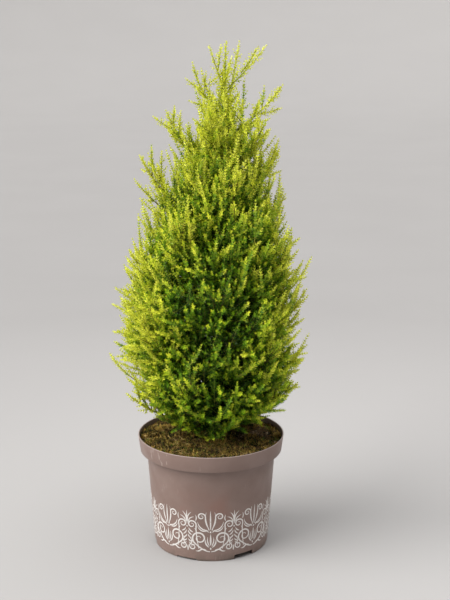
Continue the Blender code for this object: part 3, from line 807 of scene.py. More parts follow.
def scattered(name, thing, density, seed, sizes, lean, where, first, second, third):
    """A piece of copies scattered over the compost. What would reach past its edge is drawn in."""
    mesh = grown(name, soil_mesh.copy(), scatter, Thing=thing, Density=density, Seed=seed, Smallest=sizes[0],
                 Largest=sizes[1], Lean=lean, Where=where, First=first, Second=second, Third=third)
    places = np.zeros(3 * len(mesh.vertices))
    mesh.vertices.foreach_get("co", places)
    places = places.reshape(-1, 3)
    away = np.hypot(places[:, 0], places[:, 1])
    places[:, :2] *= np.minimum(1, SOIL_RADIUS / np.maximum(away, 0.001))[:, None]
    mesh.vertices.foreach_set("co", places.ravel())
    finish_piece(new_piece(name, mesh))


scattered("moss", tuft, 300000.0, 3, (0.6, 1.2), 0.35, "mossy", dark_moss, olive, golden)
scattered("compost_crumbs", crumb, 120000.0, 4, (0.35, 1.35), 3.0, "bare", brown, black, tan)
scattered("dry_straw", straw, 100000.0, 5, (0.4, 1.1), 0.5, "mossy", rust, dull, dry)
scattered("green_moss", tuft, 60000.0, 8, (0.6, 1.1), 0.35, "mossy", deep_green, fresh_green, pale_green)
for thing in (tuft, crumb, straw):
    bpy.data.objects.remove(thing, do_unlink=True)
finish_piece(new_piece("compost", soil_mesh, compost), ["soil"])

# %% [markdown]
# ## How the plant is built
# The CAD model grows its limbs by a rule, and this is the same rule with the same seeds, so every
# stem starts where its solid does. The trunk leans a little and tapers. Boughs stand round it on a
# spiral, each a golden angle on from the last, as leaves do on most plants, because it shares out the
# light. Each ends in one mass of foliage that keeps to its own space.

# %% The trunk's line and the crown's envelope
PLANT_TOP = 0.65
TRUNK_TOP = 0.585
TOP_LEAN = 0.0183
TRUNK_FOOT_RADIUS = 0.0062
TRUNK_TIP_RADIUS = 0.0012
FLARE_RADIUS = 0.0035
FLARE_HEIGHT = 0.010
SWAY, SWAY_DEPTH, SWAY_WAVES = 0.0016, 0.7, 1.2
CROWN_FOOT = 0.165
CROWN_RADIUS = 0.121
CROWN_FOOT_SHARE = 0.48
CROWN_FILL_HEIGHT = 0.18
CROWN_POWER = 2.2
CROWN_ROUNDING = 0.75
LEFT_BULGE = 0.045


def trunk_line(height):
    """Where the trunk's middle is at a height, or at many: across and along."""
    share = (height - SOIL_TOP) / (PLANT_TOP - SOIL_TOP)
    sway = SWAY * np.sin(share * math.tau * SWAY_WAVES)
    return TOP_LEAN * share + sway, SWAY_DEPTH * sway * (1 - share)


def trunk_centre(height):
    return Vector((*map(float, trunk_line(height)), height))


def trunk_radius(height):
    share = np.clip((height - SOIL_TOP) / (TRUNK_TOP - SOIL_TOP), 0, 1)
    flare = FLARE_RADIUS * np.exp(-(height - SOIL_TOP) / FLARE_HEIGHT)
    return TRUNK_FOOT_RADIUS + share * (TRUNK_TIP_RADIUS - TRUNK_FOOT_RADIUS) + flare


def round_the_trunk(points):
    """How far points are from the trunk's middle at their heights, and in which directions."""
    middle_x, middle_y = trunk_line(points[:, 2])
    x, y = points[:, 0] - middle_x, points[:, 1] - middle_y
    return np.hypot(x, y), np.arctan2(y, x)


def crown_radius(height, direction):
    """How far the crown reaches from the trunk at a height, on the side that it faces."""
    share = np.clip((height - CROWN_FOOT) / (PLANT_TOP - CROWN_FOOT), 0, 1)
    taper = (1 - share**CROWN_POWER) ** CROWN_ROUNDING
    fill = np.sin(math.pi / 2 * np.minimum(1.0, share / CROWN_FILL_HEIGHT))
    foot = CROWN_FOOT_SHARE + (1 - CROWN_FOOT_SHARE) * fill
    return CROWN_RADIUS * taper * foot * (1 - LEFT_BULGE * np.cos(direction))


# %% Branches
SPIRAL_BRANCHES = 23
SPIRAL_LOW_TIP = 0.178
SPIRAL_HIGH_TIP = 0.522
SPIRAL_LOW_ROOT = 0.154
SPIRAL_HIGH_ROOT = 0.425
SPIRAL_ROOT_POWER = 1.9
SPIRAL_START = math.radians(286)
# How far chance moves a tip's height and a bough's direction, and what it multiplies its reach by
HEIGHT_CHANCE, TURN_CHANCE, REACH_CHANCE = 0.006, 0.12, (0.98, 1.07)
GOLDEN_ANGLE = math.radians(137.508)
LEAN_BEND = math.radians(17)
BOUGH_SHARE = 0.15
BOUGH_ROOT_RADIUS = 0.0023
BOUGH_TIP_RADIUS = 0.0014
PLUME_SHARE = 0.29
SEED = 41
# The shoots that give the top its outline: direction, reach, root and tip heights, and fullness
TOP_BRANCHES = (
    (math.radians(-5), 0.071, 0.533, 0.597, 0.72),
    (math.radians(173), 0.040, 0.560, 0.623, 0.72),
    (math.radians(186), 0.069, 0.486, 0.566, 0.85),
    (math.radians(328), 0.062, 0.478, 0.556, 0.9),
    (math.radians(252), 0.046, 0.498, 0.575, 0.95),
    (math.radians(88), 0.052, 0.513, 0.592, 0.9),
    (math.radians(180), 0.096, 0.408, 0.506, 1.0),
    (math.radians(12), 0.074, 0.422, 0.514, 1.0),
    (math.radians(228), 0.050, 0.418, 0.503, 1.1),
)
# The shoots of the topmost mass: direction, reach, and foot and tip heights
LEADER_SHOOTS = (
    (math.radians(2), 0.048, 0.590, 0.6440),
    (math.radians(186), 0.020, 0.594, 0.6440),
    (math.radians(70), 0.022, 0.600, 0.6300),
    (math.radians(285), 0.020, 0.596, 0.6240),
)


class Branch:
    """One limb from the trunk to a tip: a bough, then the stem of a mass of foliage."""

    def __init__(self, name, direction, reach, root_height, tip_height, fullness=None):
        self.name = name
        self.has_bough = fullness is None
        self.root = trunk_centre(root_height)
        self.tip = trunk_centre(tip_height) + outward(direction) * reach
        self.length = (self.tip - self.root).length
        self.plume = self.length * PLUME_SHARE * (fullness or 1)
        lean = math.atan2(reach, tip_height - root_height) + LEAN_BEND
        aim = outward(direction) * math.sin(lean) + UP * math.cos(lean)
        self.bend = self.root + aim * (0.5 * self.length)

    def point(self, share):
        back = 1 - share
        return self.root * back**2 + self.bend * (2 * share * back) + self.tip * share**2

    def heading(self, share):
        return ((self.bend - self.root) * (1 - share) + (self.tip - self.bend) * share).normalized()

    def mass_start(self):
        """The share where the mass begins: at its bough's tip, or just clear of the trunk."""
        if self.has_bough:
            return BOUGH_SHARE
        share = 0.0
        while True:
            point = self.point(share)
            away = (point - trunk_centre(point.z)).length
            if away > trunk_radius(point.z) + BOUGH_TIP_RADIUS * self.heading(share).z + GAP:
                return share
            share += 0.002


def spiral_branches():
    """Branches whose tips share out the crown's surface evenly, each a golden angle on."""
    rise = SPIRAL_HIGH_TIP - SPIRAL_LOW_TIP
    heights = [SPIRAL_LOW_TIP + rise * i / 200 for i in range(201)]
    areas = np.cumsum([crown_radius(height, math.pi / 2) for height in heights])
    made = []
    for index in range(SPIRAL_BRANCHES):
        rng = random.Random(SEED * 100 + index)
        share = index / (SPIRAL_BRANCHES - 1)
        tip_height = float(np.interp(share * areas[-1], areas, heights))
        tip_height += rng.uniform(-HEIGHT_CHANCE, HEIGHT_CHANCE)
        root_height = SPIRAL_LOW_ROOT + (SPIRAL_HIGH_ROOT - SPIRAL_LOW_ROOT) * share**SPIRAL_ROOT_POWER
        direction = SPIRAL_START + GOLDEN_ANGLE * index + rng.uniform(-TURN_CHANCE, TURN_CHANCE)
        reach = float(crown_radius(tip_height, direction)) * rng.uniform(*REACH_CHANCE)
        made.append(Branch(f"{index + 1:02d}", direction, reach, root_height, tip_height))
    return made


branches = spiral_branches()
for measures in TOP_BRANCHES:
    branches.append(Branch(f"{len(branches) + 1:02d}", *measures))
leader_root, leader_tip = trunk_centre(TRUNK_TOP + GAP), trunk_centre(PLANT_TOP)
leader_shoots = [(trunk_centre(low), trunk_centre(high) + outward(direction) * reach)
                 for direction, reach, low, high in LEADER_SHOOTS]
print(f"{len(branches)} branches and a leader of {len(leader_shoots)} shoots")

# %% [markdown]
# ## Each mass keeps to its own space
# A point belongs to the branch that it lies nearest to. Asking that for every new shoot keeps the
# masses from growing through each other, and a second test keeps them clear of the trunk, the pot and
# the compost, and inside the crown's envelope. Whole arrays of points are tested at once.

# %% The space test
SPACE_MARGIN = 0.0009
REST_MARGIN = 0.0015
TOP_MARGIN = 0.002
ENVELOPE_SPARE = 0.009


def segment_distances(points, starts, ends):
    """The distance from each of the points to each of the segments."""
    along = ends - starts
    offset = points[:, None, :] - starts[None]
    lengths = np.einsum("sk,sk->s", along, along)
    share = np.clip(np.einsum("psk,sk->ps", offset, along) / lengths, 0, 1)
    return np.linalg.norm(offset - share[..., None] * along[None], axis=2)


def as_array(points):
    return np.array([tuple(point) for point in points])


def segments(lines):
    """The starts and the ends of the segments of lines."""
    return np.concatenate([line[:-1] for line in lines]), np.concatenate([line[1:] for line in lines])


class Space:
    """Tells which points belong to which branch, clear of the trunk, boughs, pot and compost."""

    def __init__(self, lines, bough_lines):
        self.starts, self.ends = segments(lines)
        self.owners = np.concatenate([np.full(len(line) - 1, i) for i, line in enumerate(lines)])
        self.bough_starts, self.bough_ends = segments(bough_lines)

    def room(self, owner, points):
        away = segment_distances(points, self.starts, self.ends)
        own = self.owners == owner
        free = away[:, own].min(1) + SPACE_MARGIN <= away[:, ~own].min(1)
        free &= self.from_boughs(points) >= BOUGH_ROOT_RADIUS + SPACE_MARGIN
        return free & clear_of_the_rest(points, owner)

    def from_boughs(self, points):
        return segment_distances(points, self.bough_starts, self.bough_ends).min(1)

    def owner_at(self, points):
        return self.owners[segment_distances(points, self.starts, self.ends).argmin(1)]

    def holds(self, owner, points):
        return bool(self.room(owner, as_array(points)).all())


def clear_of_the_rest(points, owner):
    """Which points are clear of trunk, pot and compost, and in the envelope too for a bough's mass."""
    x, y, z = points.T
    away, direction = round_the_trunk(points)
    floor = np.where(np.hypot(x, y) < BAND_FOOT_RADIUS - WALL, SOIL_TOP, POT_HEIGHT)
    clear = (z >= floor + REST_MARGIN) & (z <= PLANT_TOP)
    clear &= (z >= TRUNK_TOP + TOP_MARGIN) | (away >= trunk_radius(z) + REST_MARGIN)
    if owner < SPIRAL_BRANCHES:
        clear &= away < crown_radius(z, direction) + ENVELOPE_SPARE
    return clear


lines = [as_array(branch.point(i / 8) for i in range(9)) for branch in branches]
lines.append(as_array([leader_root, leader_tip] + [point for pair in leader_shoots for point in pair]))
space = Space(lines, [as_array(branch.point(BOUGH_SHARE * i / 4) for i in range(5))
                      for branch in branches if branch.has_bough])

# %% [markdown]
# ## Twigs and side twigs
# Twigs leave the stem of a mass on a spiral, and each carries up to two side twigs. These are the
# solids' own twigs, so the draws are made in the same order as in the CAD model's source. A twig that
# finds no room turns on or shortens.

# %% The source's twigs
TWIGS_PER_MASS = 10
TWIG_TRIES = 3
TWIG_NECK = 0.3
TWIG_LEANS = (38, 52)
SIDE_LEANS = (34, 48)
TWIG_LIFT = 0.2
SIDE_LIFT = 0.35
SHRINKS = (1.0, 0.87, 0.75, 0.62, 0.5)
SPRAY_RADIUS = 0.0058
SPRAY_WAIST, SPRAY_SHOULDER = 0.5, 0.75
CROWD_SHARES = (0.55, 0.7, 0.85, 1.0)
# The shares of a branch between which its twigs stand, and from which its own tip counts as a twig
TWIGS_FROM, TWIGS_TO, TIP_FROM = 0.16, 0.88, 0.72
SIDE_TURN_CHANCE = 0.9
SIDE_SPRAYS = ((0.20, 0.68), (0.42, 0.58))
ELBOW_ROOM = 0.0085


def frame_about(heading):
    """Two directions at right angles to a heading."""
    side = heading.cross(UP if abs(heading.z) < 0.95 else Vector((1, 0, 0))).normalized()
    return side, heading.cross(side)


def twig_direction(heading, spin, lean):
    side, over = frame_about(heading)
    aside = side * math.cos(spin) + over * math.sin(spin)
    return (heading * math.cos(lean) + aside * math.sin(lean)).normalized()


def spray_samples(start, end, radius):
    side, over = frame_about((end - start).normalized())
    waist, shoulder = start.lerp(end, SPRAY_WAIST), start.lerp(end, SPRAY_SHOULDER)
    ring = [side * radius, over * radius, side * -radius, over * -radius]
    return [end, *(waist + offset for offset in ring), *(shoulder + offset / 2 for offset in ring)]


class Mass:
    """The twigs and side twigs of one mass, each from its foot to its tip."""

    def __init__(self, owner):
        self.owner = owner
        self.twigs = []
        self.side_twigs = []

    def crowds(self, foot, tip):
        others = self.twigs + self.side_twigs
        if not others:
            return False
        points = as_array(foot.lerp(tip, share) for share in CROWD_SHARES)
        starts = as_array(start.lerp(end, TWIG_NECK) for start, end in others)
        ends = as_array(end for start, end in others)
        return segment_distances(points, starts, ends).min() < ELBOW_ROOM

    def fitted_tip(self, foot, aim, length, radius):
        for shrink in SHRINKS:
            tip = foot + aim.normalized() * (length * shrink)
            if not self.crowds(foot, tip) and space.holds(self.owner, spray_samples(foot, tip, radius)):
                return tip
        return None

    def grow_twig(self, foot, tip, rng):
        length = (tip - foot).length
        heading = (tip - foot).normalized()
        self.twigs.append((foot, tip))
        spin = rng.uniform(0, math.tau)
        for share, part in SIDE_SPRAYS:
            side_foot = foot.lerp(tip, share)
            spin += math.pi + rng.uniform(-SIDE_TURN_CHANCE, SIDE_TURN_CHANCE)
            aim = twig_direction(heading, spin, math.radians(rng.uniform(*SIDE_LEANS))) + UP * SIDE_LIFT
            side_tip = self.fitted_tip(side_foot, aim, length * part, SPRAY_RADIUS * 0.9)
            if side_tip is not None:
                self.side_twigs.append((side_foot, side_tip))


def grow_mass(branch, owner):
    mass = Mass(owner)
    rng = random.Random(SEED * 1000 + owner)
    start = max(branch.mass_start(), TWIGS_FROM)
    spin = rng.uniform(0, math.tau)
    mass.side_twigs.append((branch.point(TIP_FROM), branch.tip))
    for index in range(TWIGS_PER_MASS):
        along = (index + 0.5) / TWIGS_PER_MASS
        share = start + (TWIGS_TO - start) * (0.04 + 0.94 * along)
        lean = math.radians(rng.uniform(*TWIG_LEANS))
        length = branch.plume * (1.4 - 0.75 * along) * rng.uniform(0.9, 1.1) / math.sin(lean)
        foot = branch.point(share)
        for _ in range(TWIG_TRIES):
            spin += GOLDEN_ANGLE
            aim = twig_direction(branch.heading(share), spin, lean) + UP * TWIG_LIFT
            tip = mass.fitted_tip(foot, aim, length, SPRAY_RADIUS)
            if tip is not None:
                mass.grow_twig(foot, tip, rng)
                break
    return mass


masses = [grow_mass(branch, owner) for owner, branch in enumerate(branches)]
leader = Mass(len(branches))
leader_rng = random.Random(SEED * 1000 + len(branches))
for foot, tip in leader_shoots:
    leader.grow_twig(foot, tip, leader_rng)
masses.append(leader)
print(f"{sum(len(m.twigs) for m in masses)} twigs, {sum(len(m.side_twigs) for m in masses)} side twigs")

# %% [markdown]
# ## Finer shoots
# The solids stop at the side twigs. The real plant goes on: more twigs fill the air between them, and
# shoots as long as a fingertip stand all along each twig, with shorter ones on those. Every shoot is a
# curve of three points that leaves its parent at a wide angle and turns up towards the light. They are
# kept in arrays, so tens of thousands grow in seconds.

# %% Shoots as arrays
SHOOT = np.dtype([(name, "3f8") for name in ("foot", "bend", "tip")] +
                 [(name, "i4") for name in ("rank", "spray", "mass")])
STEM, TWIG, FILLER, SHORT, SHORTEST = range(5)
TRUNK = -1
SAG = 0.09


def new_shoots(foot, bend, tip, rank, spray, mass):
    made = np.zeros(len(foot), SHOOT)
    made["foot"], made["bend"], made["tip"] = foot, bend, tip
    made["rank"], made["spray"], made["mass"] = rank, spray, mass
    return made


def along(shoots, share):
    """The place and the heading at a share of each shoot's length."""
    share = share[:, None]
    foot, bend, tip = shoots["foot"], shoots["bend"], shoots["tip"]
    place = foot * (1 - share) ** 2 + bend * 2 * share * (1 - share) + tip * share**2
    return place, unit((bend - foot) * (1 - share) + (tip - bend) * share)


def shoot_lengths(shoots):
    """About the length of each shoot: the mean of its chord and of the way by its bend."""
    first = np.linalg.norm(shoots["bend"] - shoots["foot"], axis=1)
    second = np.linalg.norm(shoots["tip"] - shoots["bend"], axis=1)
    chord = np.linalg.norm(shoots["tip"] - shoots["foot"], axis=1)
    return (first + second + chord) / 2


def bowed(foot, tip):
    """The bend of a twig that hangs a little below the straight line and turns up at its tip."""
    way = tip - foot
    length = np.linalg.norm(way, axis=1)[:, None]
    heading = way / length
    lift = np.array(UP) - heading * heading[:, 2:3]
    return (foot + tip) / 2 - lift * (SAG * length)


def frames(heading):
    steep = np.abs(heading[:, 2:3]) > 0.95
    side = unit(np.cross(heading, np.where(steep, [1.0, 0, 0], [0, 0, 1.0])))
    return side, np.cross(heading, side)


def leaned(heading, spin, lean):
    side, over = frames(heading)
    aside = side * np.cos(spin)[:, None] + over * np.sin(spin)[:, None]
    return heading * np.cos(lean)[:, None] + aside * np.sin(lean)[:, None]


def numbered(counts):
    """For each child of parents with these counts: its parent's number, and its own among siblings."""
    parent = np.repeat(np.arange(len(counts)), counts)
    return parent, np.arange(len(parent)) - np.repeat(np.cumsum(counts) - counts, counts)


# %% [markdown]
# ## Tips first
# A bush puts a shoot wherever there is light, so its surface is covered evenly with tips. Growing
# outwards by chance leaves holes. So the tips are dealt out first, each a golden angle on from the
# last over the crown's envelope. Each is then joined back to the wood that lies below and inside it,
# in the direction that shoots take there: nearly level at the foot of the crown, steep at its top.
# Past the solids' own twigs neighbouring boughs mingle, and the crown closes into one flame shape.

# %% The crown's surface
# How far the dense part of the crown reaches from the trunk at each height
FILLED_LEVELS = (0.150, 0.165, 0.190, 0.220, 0.260, 0.290, 0.325, 0.363, 0.394, 0.425,
                 0.455, 0.485, 0.510, 0.530, 0.545, 0.560, 0.575, 0.590, 0.610, 0.630)
FILLED_RADII = (0.036, 0.049, 0.072, 0.093, 0.104, 0.107, 0.106, 0.097, 0.090, 0.080,
                0.070, 0.062, 0.053, 0.043, 0.034, 0.026, 0.020, 0.016, 0.012, 0.008)
LEAST_RADIUS = 0.003
LUMPS = 0.080
# The share of tips that stray out of the envelope, how far out they are, and how far out the others are
STRAY_SHARE = 0.28
STRAY_REACH = (0.005, 0.024)
PLAIN_REACH = (-0.012, 0.001)
# The share of its reach that the crown gains at the left and loses at the right, by height
BULGE_LEVELS = (0.19, 0.23, 0.29, 0.35, 0.395, 0.43)
LEFT_BULGES = (-0.02, 0.02, 0.08, 0.10, 0.05, -0.02)
# How far from upright a shoot leans at each height
LEAN_LEVELS = (0.17, 0.22, 0.30, 0.36, 0.42, 0.50, 0.56)
LEAN_ANGLES = tuple(map(math.radians, (84, 70, 57, 47, 38, 28, 16)))
LEAN_SPREAD, TURN_SPREAD, SPIRAL_SPREAD = 0.27, 0.35, 0.06


def filled_radius(height, direction):
    """The reach of the crown's dense part. Broad lumps keep its outline from looking turned."""
    lumps = np.sin(3 * direction + 38 * height) + 0.8 * np.sin(5 * direction - 61 * height + 1.3)
    lumps = 1 + LUMPS * lumps * np.clip(height * 8 - 1.3, 0, 1)
    reach = np.interp(height, FILLED_LEVELS, FILLED_RADII) * lumps
    return reach * (1 - np.interp(height, BULGE_LEVELS, LEFT_BULGES) * np.cos(direction))


def in_open_air(points, free, spare):
    """Which points are clear of wood, pot and compost, in the CAD box, and in the envelope if not free."""
    away, direction = round_the_trunk(points)
    fits = clear_of_the_rest(points, SPIRAL_BRANCHES)
    fits &= space.from_boughs(points) > BOUGH_ROOT_RADIUS + SPACE_MARGIN
    fits &= free | (away < filled_radius(points[:, 2], direction) + spare)
    low, high = np.array(cad_low), np.array(cad_high)
    high[2] = PLANT_TOP - TOP_MARGIN
    return fits & ((points > low) & (points < high)).all(1)


def surface_tips(spacing, depth, low, high, rng):
    """Tips spread evenly over the crown at a depth inside its envelope, and the way that each points."""
    levels = np.linspace(low, high, 400)
    radii = np.maximum(filled_radius(levels, math.pi / 2) - depth, LEAST_RADIUS)
    areas = np.cumsum(radii * np.hypot(1, np.gradient(radii, levels)))
    count = int(math.tau * areas[-1] * (levels[1] - levels[0]) / spacing**2)
    nth = np.arange(count)
    height = np.interp((nth + rng.uniform(0, 1, count)) / count * areas[-1], areas, levels)
    direction = GOLDEN_ANGLE * nth + rng.normal(0, SPIRAL_SPREAD, count)
    away = np.maximum(filled_radius(height, direction) - depth, LEAST_RADIUS)
    stray = rng.uniform(0, 1, count) < STRAY_SHARE
    away += np.where(stray, rng.uniform(*STRAY_REACH, count), rng.uniform(*PLAIN_REACH, count))
    middle_x, middle_y = trunk_line(height)
    tips = np.stack([middle_x + away * np.cos(direction), middle_y + away * np.sin(direction), height], 1)
    lean = np.interp(height, LEAN_LEVELS, LEAN_ANGLES) + rng.normal(0, LEAN_SPREAD, count)
    turn = direction + rng.normal(0, TURN_SPREAD, count)
    way = np.stack([np.sin(lean) * np.cos(turn), np.sin(lean) * np.sin(turn), np.cos(lean)], 1)
    return tips, way


# %% Join the tips back to the wood
# How much twigs turn up, by the height of their tips and by how far these are past the envelope
RISE_LEVELS, RISES = (0.32, 0.46), (0.0, 0.5)
RISE_PAST, RISE_PAST_FULL = 0.7, 0.02
RISE_ENDS = (0.51, 0.55)
WOOD_STEP = 0.003
JOIN_BOW = 0.16
JOIN_LEAST = 0.008
JOIN_STRETCH = 1.7
JOIN_ALIGNED = 0.45
LEAFY_TRUNK = (0.17, TRUNK_TOP - TOP_MARGIN)


def wood_points(shoots):
    """Places along shoots that others can stand on, and the mass that each belongs to."""
    counts = (shoot_lengths(shoots) / WOOD_STEP).astype(int) + 1
    index, nth = numbered(counts)
    return along(shoots[index], 0.9 * (nth + 0.5) / counts[index])[0], shoots["mass"][index]


def joined_back(tips, way, wood, length):
    """Shoots to the tips from the wood nearest to the place that each would start from."""
    places, owners = wood_points(wood)
    tree = KDTree(len(places))
    for number, place in enumerate(places):
        tree.insert(place, number)
    tree.balance()
    found = np.array([tree.find(start)[1] for start in tips - way * length[:, None]])
    foot = places[found]
    reach = tips - foot
    size = np.linalg.norm(reach, axis=1)
    heading = reach / size[:, None]
    bend = (foot + tips) / 2 + (way * [1, 1, -0.4] - heading * 0.6) * (JOIN_BOW * size)[:, None]
    mass = owners[found]
    mass = np.where(mass == TRUNK, space.owner_at(bend), mass)
    everywhere = np.ones(len(tips), bool)
    fits = in_open_air(tips, everywhere, 0) & in_open_air(bend, everywhere, 0)
    fits &= (size > JOIN_LEAST) & (size < JOIN_STRETCH * length) & ((heading * way).sum(1) > JOIN_ALIGNED)
    return new_shoots(foot, bend, tips, FILLER, 0, mass)[fits]


def stem_of(owner, from_trunk=False):
    """The stem of a mass, as the part of its branch past the bough, or from the trunk on."""
    if owner == len(branches):
        return leader_root, (leader_root + leader_tip) / 2, trunk_centre(PLANT_TOP - REST_MARGIN)
    branch = branches[owner]
    start = 0.0 if from_trunk else branch.mass_start()
    return branch.point(start), branch.bend.lerp(branch.tip, start), branch.tip


def stems(from_trunk=False):
    curves = [stem_of(mass.owner, from_trunk) for mass in masses]
    foot, bend, tip = (as_array(column) for column in zip(*curves))
    return new_shoots(foot, bend, tip, STEM, 0, np.arange(len(masses)))


def trunk_lengths():
    """The trunk above its bare foot, in short lengths, for shoots to stand on."""
    levels = np.linspace(*LEAFY_TRUNK, 30)
    points = np.stack([*trunk_line(levels), levels], 1)
    return new_shoots(points[:-1], (points[:-1] + points[1:]) / 2, points[1:], STEM, 0, TRUNK)


def twigs_of(mass):
    """The source's twigs of a mass. High ones, and ones that stand out of the envelope, are turned up."""
    feet, tips = (as_array(column) for column in zip(*mass.twigs, *mass.side_twigs))
    reach = np.linalg.norm(tips - feet, axis=1)[:, None]
    away, direction = round_the_trunk(tips)
    past = away - filled_radius(tips[:, 2], direction)
    lift = np.interp(tips[:, 2], RISE_LEVELS, RISES) + np.clip(past / RISE_PAST_FULL, 0, 1) * RISE_PAST
    lift *= np.interp(tips[:, 2], RISE_ENDS, (1.0, 0.0))
    risen = (tips - feet) / reach + lift[:, None] * np.array(UP)
    tips = feet + unit(risen) * reach
    return new_shoots(feet, bowed(feet, tips), tips, TWIG, 0, mass.owner)


FILLER_CHANCE = (0.7, 1.35)
# Each layer: depth inside the envelope, spacing of tips, length of a shoot, lowest and highest tips
LAYERS = (
    (0.066, 0.0170, 0.028, 0.18, 0.42),
    (0.042, 0.0150, 0.032, 0.18, 0.50),
    (0.018, 0.0130, 0.034, 0.17, 0.57),
    (0.000, 0.0108, 0.045, 0.163, 0.625),
)
rng = np.random.default_rng(SEED)
stem_shoots = stems()
source_twigs = np.concatenate([twigs_of(mass) for mass in masses])
wood = np.concatenate([trunk_lengths(), stems(True), source_twigs])
fillers = []
for depth, spacing, length, low, high in LAYERS:
    tips, way = surface_tips(spacing, depth, low, high, rng)
    made = joined_back(tips, way, wood, length * rng.uniform(*FILLER_CHANCE, len(tips)))
    print(f"{len(made)} of {len(tips)} tips joined, {shoot_lengths(made).mean() * 1000:.0f} mm each")
    fillers.append(made)
    wood = np.concatenate([wood, made])
long_shoots = np.concatenate([stem_shoots, source_twigs, *fillers])
long_shoots["spray"] = np.arange(len(long_shoots))

# %% [markdown]
# ## Side shoots that share the air
# Every long shoot carries short ones on a spiral, shorter towards its tip, so that it looks like a
# feather. The air is divided into small cubes. A side shoot is kept only where most of the cubes along
# its outer part are still free, and it then takes them. That keeps the feathers apart.

# %% Claims on the air
FREE_PART = 0.7
FINE_SHARES = (0.5, 0.75, 1.0)
BARE_END = 0.006
FIRST_SHOOT_AT = 0.003
TAPER = 0.30
TIP_LENGTH = 0.0022
LENGTH_CHANCE = (0.72, 1.12)
PLACE_CHANCE = 0.3
SHOOT_LIFT = 0.3
# How far past the envelope a side shoot may stand: the mean and the spread
SHOOT_SPARE = (0.003, 0.004)
SHOOT_ANGLES = (36, 56)
SHOOT_CURL = 0.16
# Whether each mass is in the open top of the crown. The last two are the leader and the trunk
open_top = np.array([branch.tip.z > 0.55 for branch in branches] + [True, True])


def cubes_along(shoots, shares, cube):
    """One number for each cube that a shoot passes through at the shares of its length."""
    keys = []
    for share in shares:
        place = along(shoots, np.full(len(shoots), share))[0]
        x, y, z = np.floor(place / cube).astype(int).T + 500
        keys.append((x * 1000 + y) * 1000 + z)
    return np.stack(keys, 1)


def still_free(shoots, taken, rng, cube):
    """Which shoots find most of their cubes free. They take those cubes, long shoots mostly first."""
    rows = cubes_along(shoots, FINE_SHARES, cube).tolist()
    kept = np.zeros(len(rows), bool)
    for row in np.argsort(-shoot_lengths(shoots) * rng.uniform(0.5, 1, len(rows))):
        cubes = set(rows[row])
        if len(cubes - taken) >= FREE_PART * len(cubes):
            taken |= cubes
            kept[row] = True
    return kept


def side_shoots(parents, rank, pitch, longest, least, rng, taken, cube):
    """Short shoots on a spiral along their parents, kept where they fit."""
    lengths = shoot_lengths(parents)
    index, nth = numbered(np.maximum(((lengths - BARE_END) / pitch).astype(int) + 1, 0))
    count, parent, whole = len(index), parents[index], lengths[index]
    place = FIRST_SHOOT_AT + pitch * (nth + rng.uniform(-PLACE_CHANCE, PLACE_CHANCE, count))
    share = np.clip(place / whole, 0, 0.98)
    foot, heading = along(parent, share)
    left = np.where(parent["mass"] == TRUNK, longest / TAPER, (1 - share) * whole)
    length = np.minimum(longest, TAPER * left + TIP_LENGTH) * rng.uniform(*LENGTH_CHANCE, count)
    spin = rng.uniform(0, math.tau, len(parents))[index] + nth * GOLDEN_ANGLE
    spin += rng.uniform(-PLACE_CHANCE, PLACE_CHANCE, count)
    angle = np.radians(rng.uniform(*SHOOT_ANGLES, count))
    low = leaned(heading, spin, angle + SHOOT_CURL)
    high = unit(leaned(heading, spin, angle - SHOOT_CURL) + np.array([0, 0, SHOOT_LIFT]))
    bend = foot + low * length[:, None] / 2
    tip = bend + high * length[:, None] / 2
    spare = rng.normal(*SHOOT_SPARE, count)
    free = open_top[parent["mass"]] | (parent["rank"] != FILLER)
    keep = (length > least) & in_open_air(tip, free, spare)
    foot, bend, tip, parent = foot[keep], bend[keep], tip[keep], parent[keep]
    mass = np.where(parent["mass"] == TRUNK, space.owner_at(tip), parent["mass"])
    made = new_shoots(foot, bend, tip, rank, parent["spray"], mass)
    return made[still_free(made, taken, rng, cube)]


# %% Clothe the long shoots
FINE_CUBE = 0.0046
TOP_CUBE = 0.0032
CLOTHED_TRUNK_FROM = 0.47
BRANCHED_FROM = 0.0090
# The pitch along the parent, and the longest and the least length, of short shoots
PLAIN_SHORT = (0.0038, 0.0130, 0.0032)
TOP_SHORT = (0.0026, 0.0082, 0.0025)
SECOND_SHORT = (0.0046, 0.0060, 0.003)


def cubes_of(shoots, cube):
    return set(cubes_along(shoots, np.linspace(0.1, 1, 12), cube).ravel().tolist())


at_top = open_top[long_shoots["mass"]] & (long_shoots["rank"] != FILLER)
taken = cubes_of(long_shoots, FINE_CUBE)
short = side_shoots(long_shoots[~at_top], SHORT, *PLAIN_SHORT, rng, taken, FINE_CUBE)
trunk_parents = trunk_lengths()
trunk_parents = trunk_parents[trunk_parents["foot"][:, 2] > CLOTHED_TRUNK_FROM]
top_parents = np.concatenate([long_shoots[at_top], trunk_parents])
top_taken = cubes_of(long_shoots[at_top], TOP_CUBE)
short_at_top = side_shoots(top_parents, SHORT, *TOP_SHORT, rng, top_taken, TOP_CUBE)
branched = short[shoot_lengths(short) > BRANCHED_FROM]
shortest = side_shoots(branched, SHORTEST, *SECOND_SHORT, rng, taken, FINE_CUBE)
all_shoots = np.concatenate([long_shoots, short, short_at_top, shortest])
for rank, name in enumerate(("stems", "twigs", "twigs between", "short shoots", "shortest shoots")):
    own = all_shoots[all_shoots["rank"] == rank]
    print(f"{len(own)} {name}, {shoot_lengths(own).sum():.1f} m")
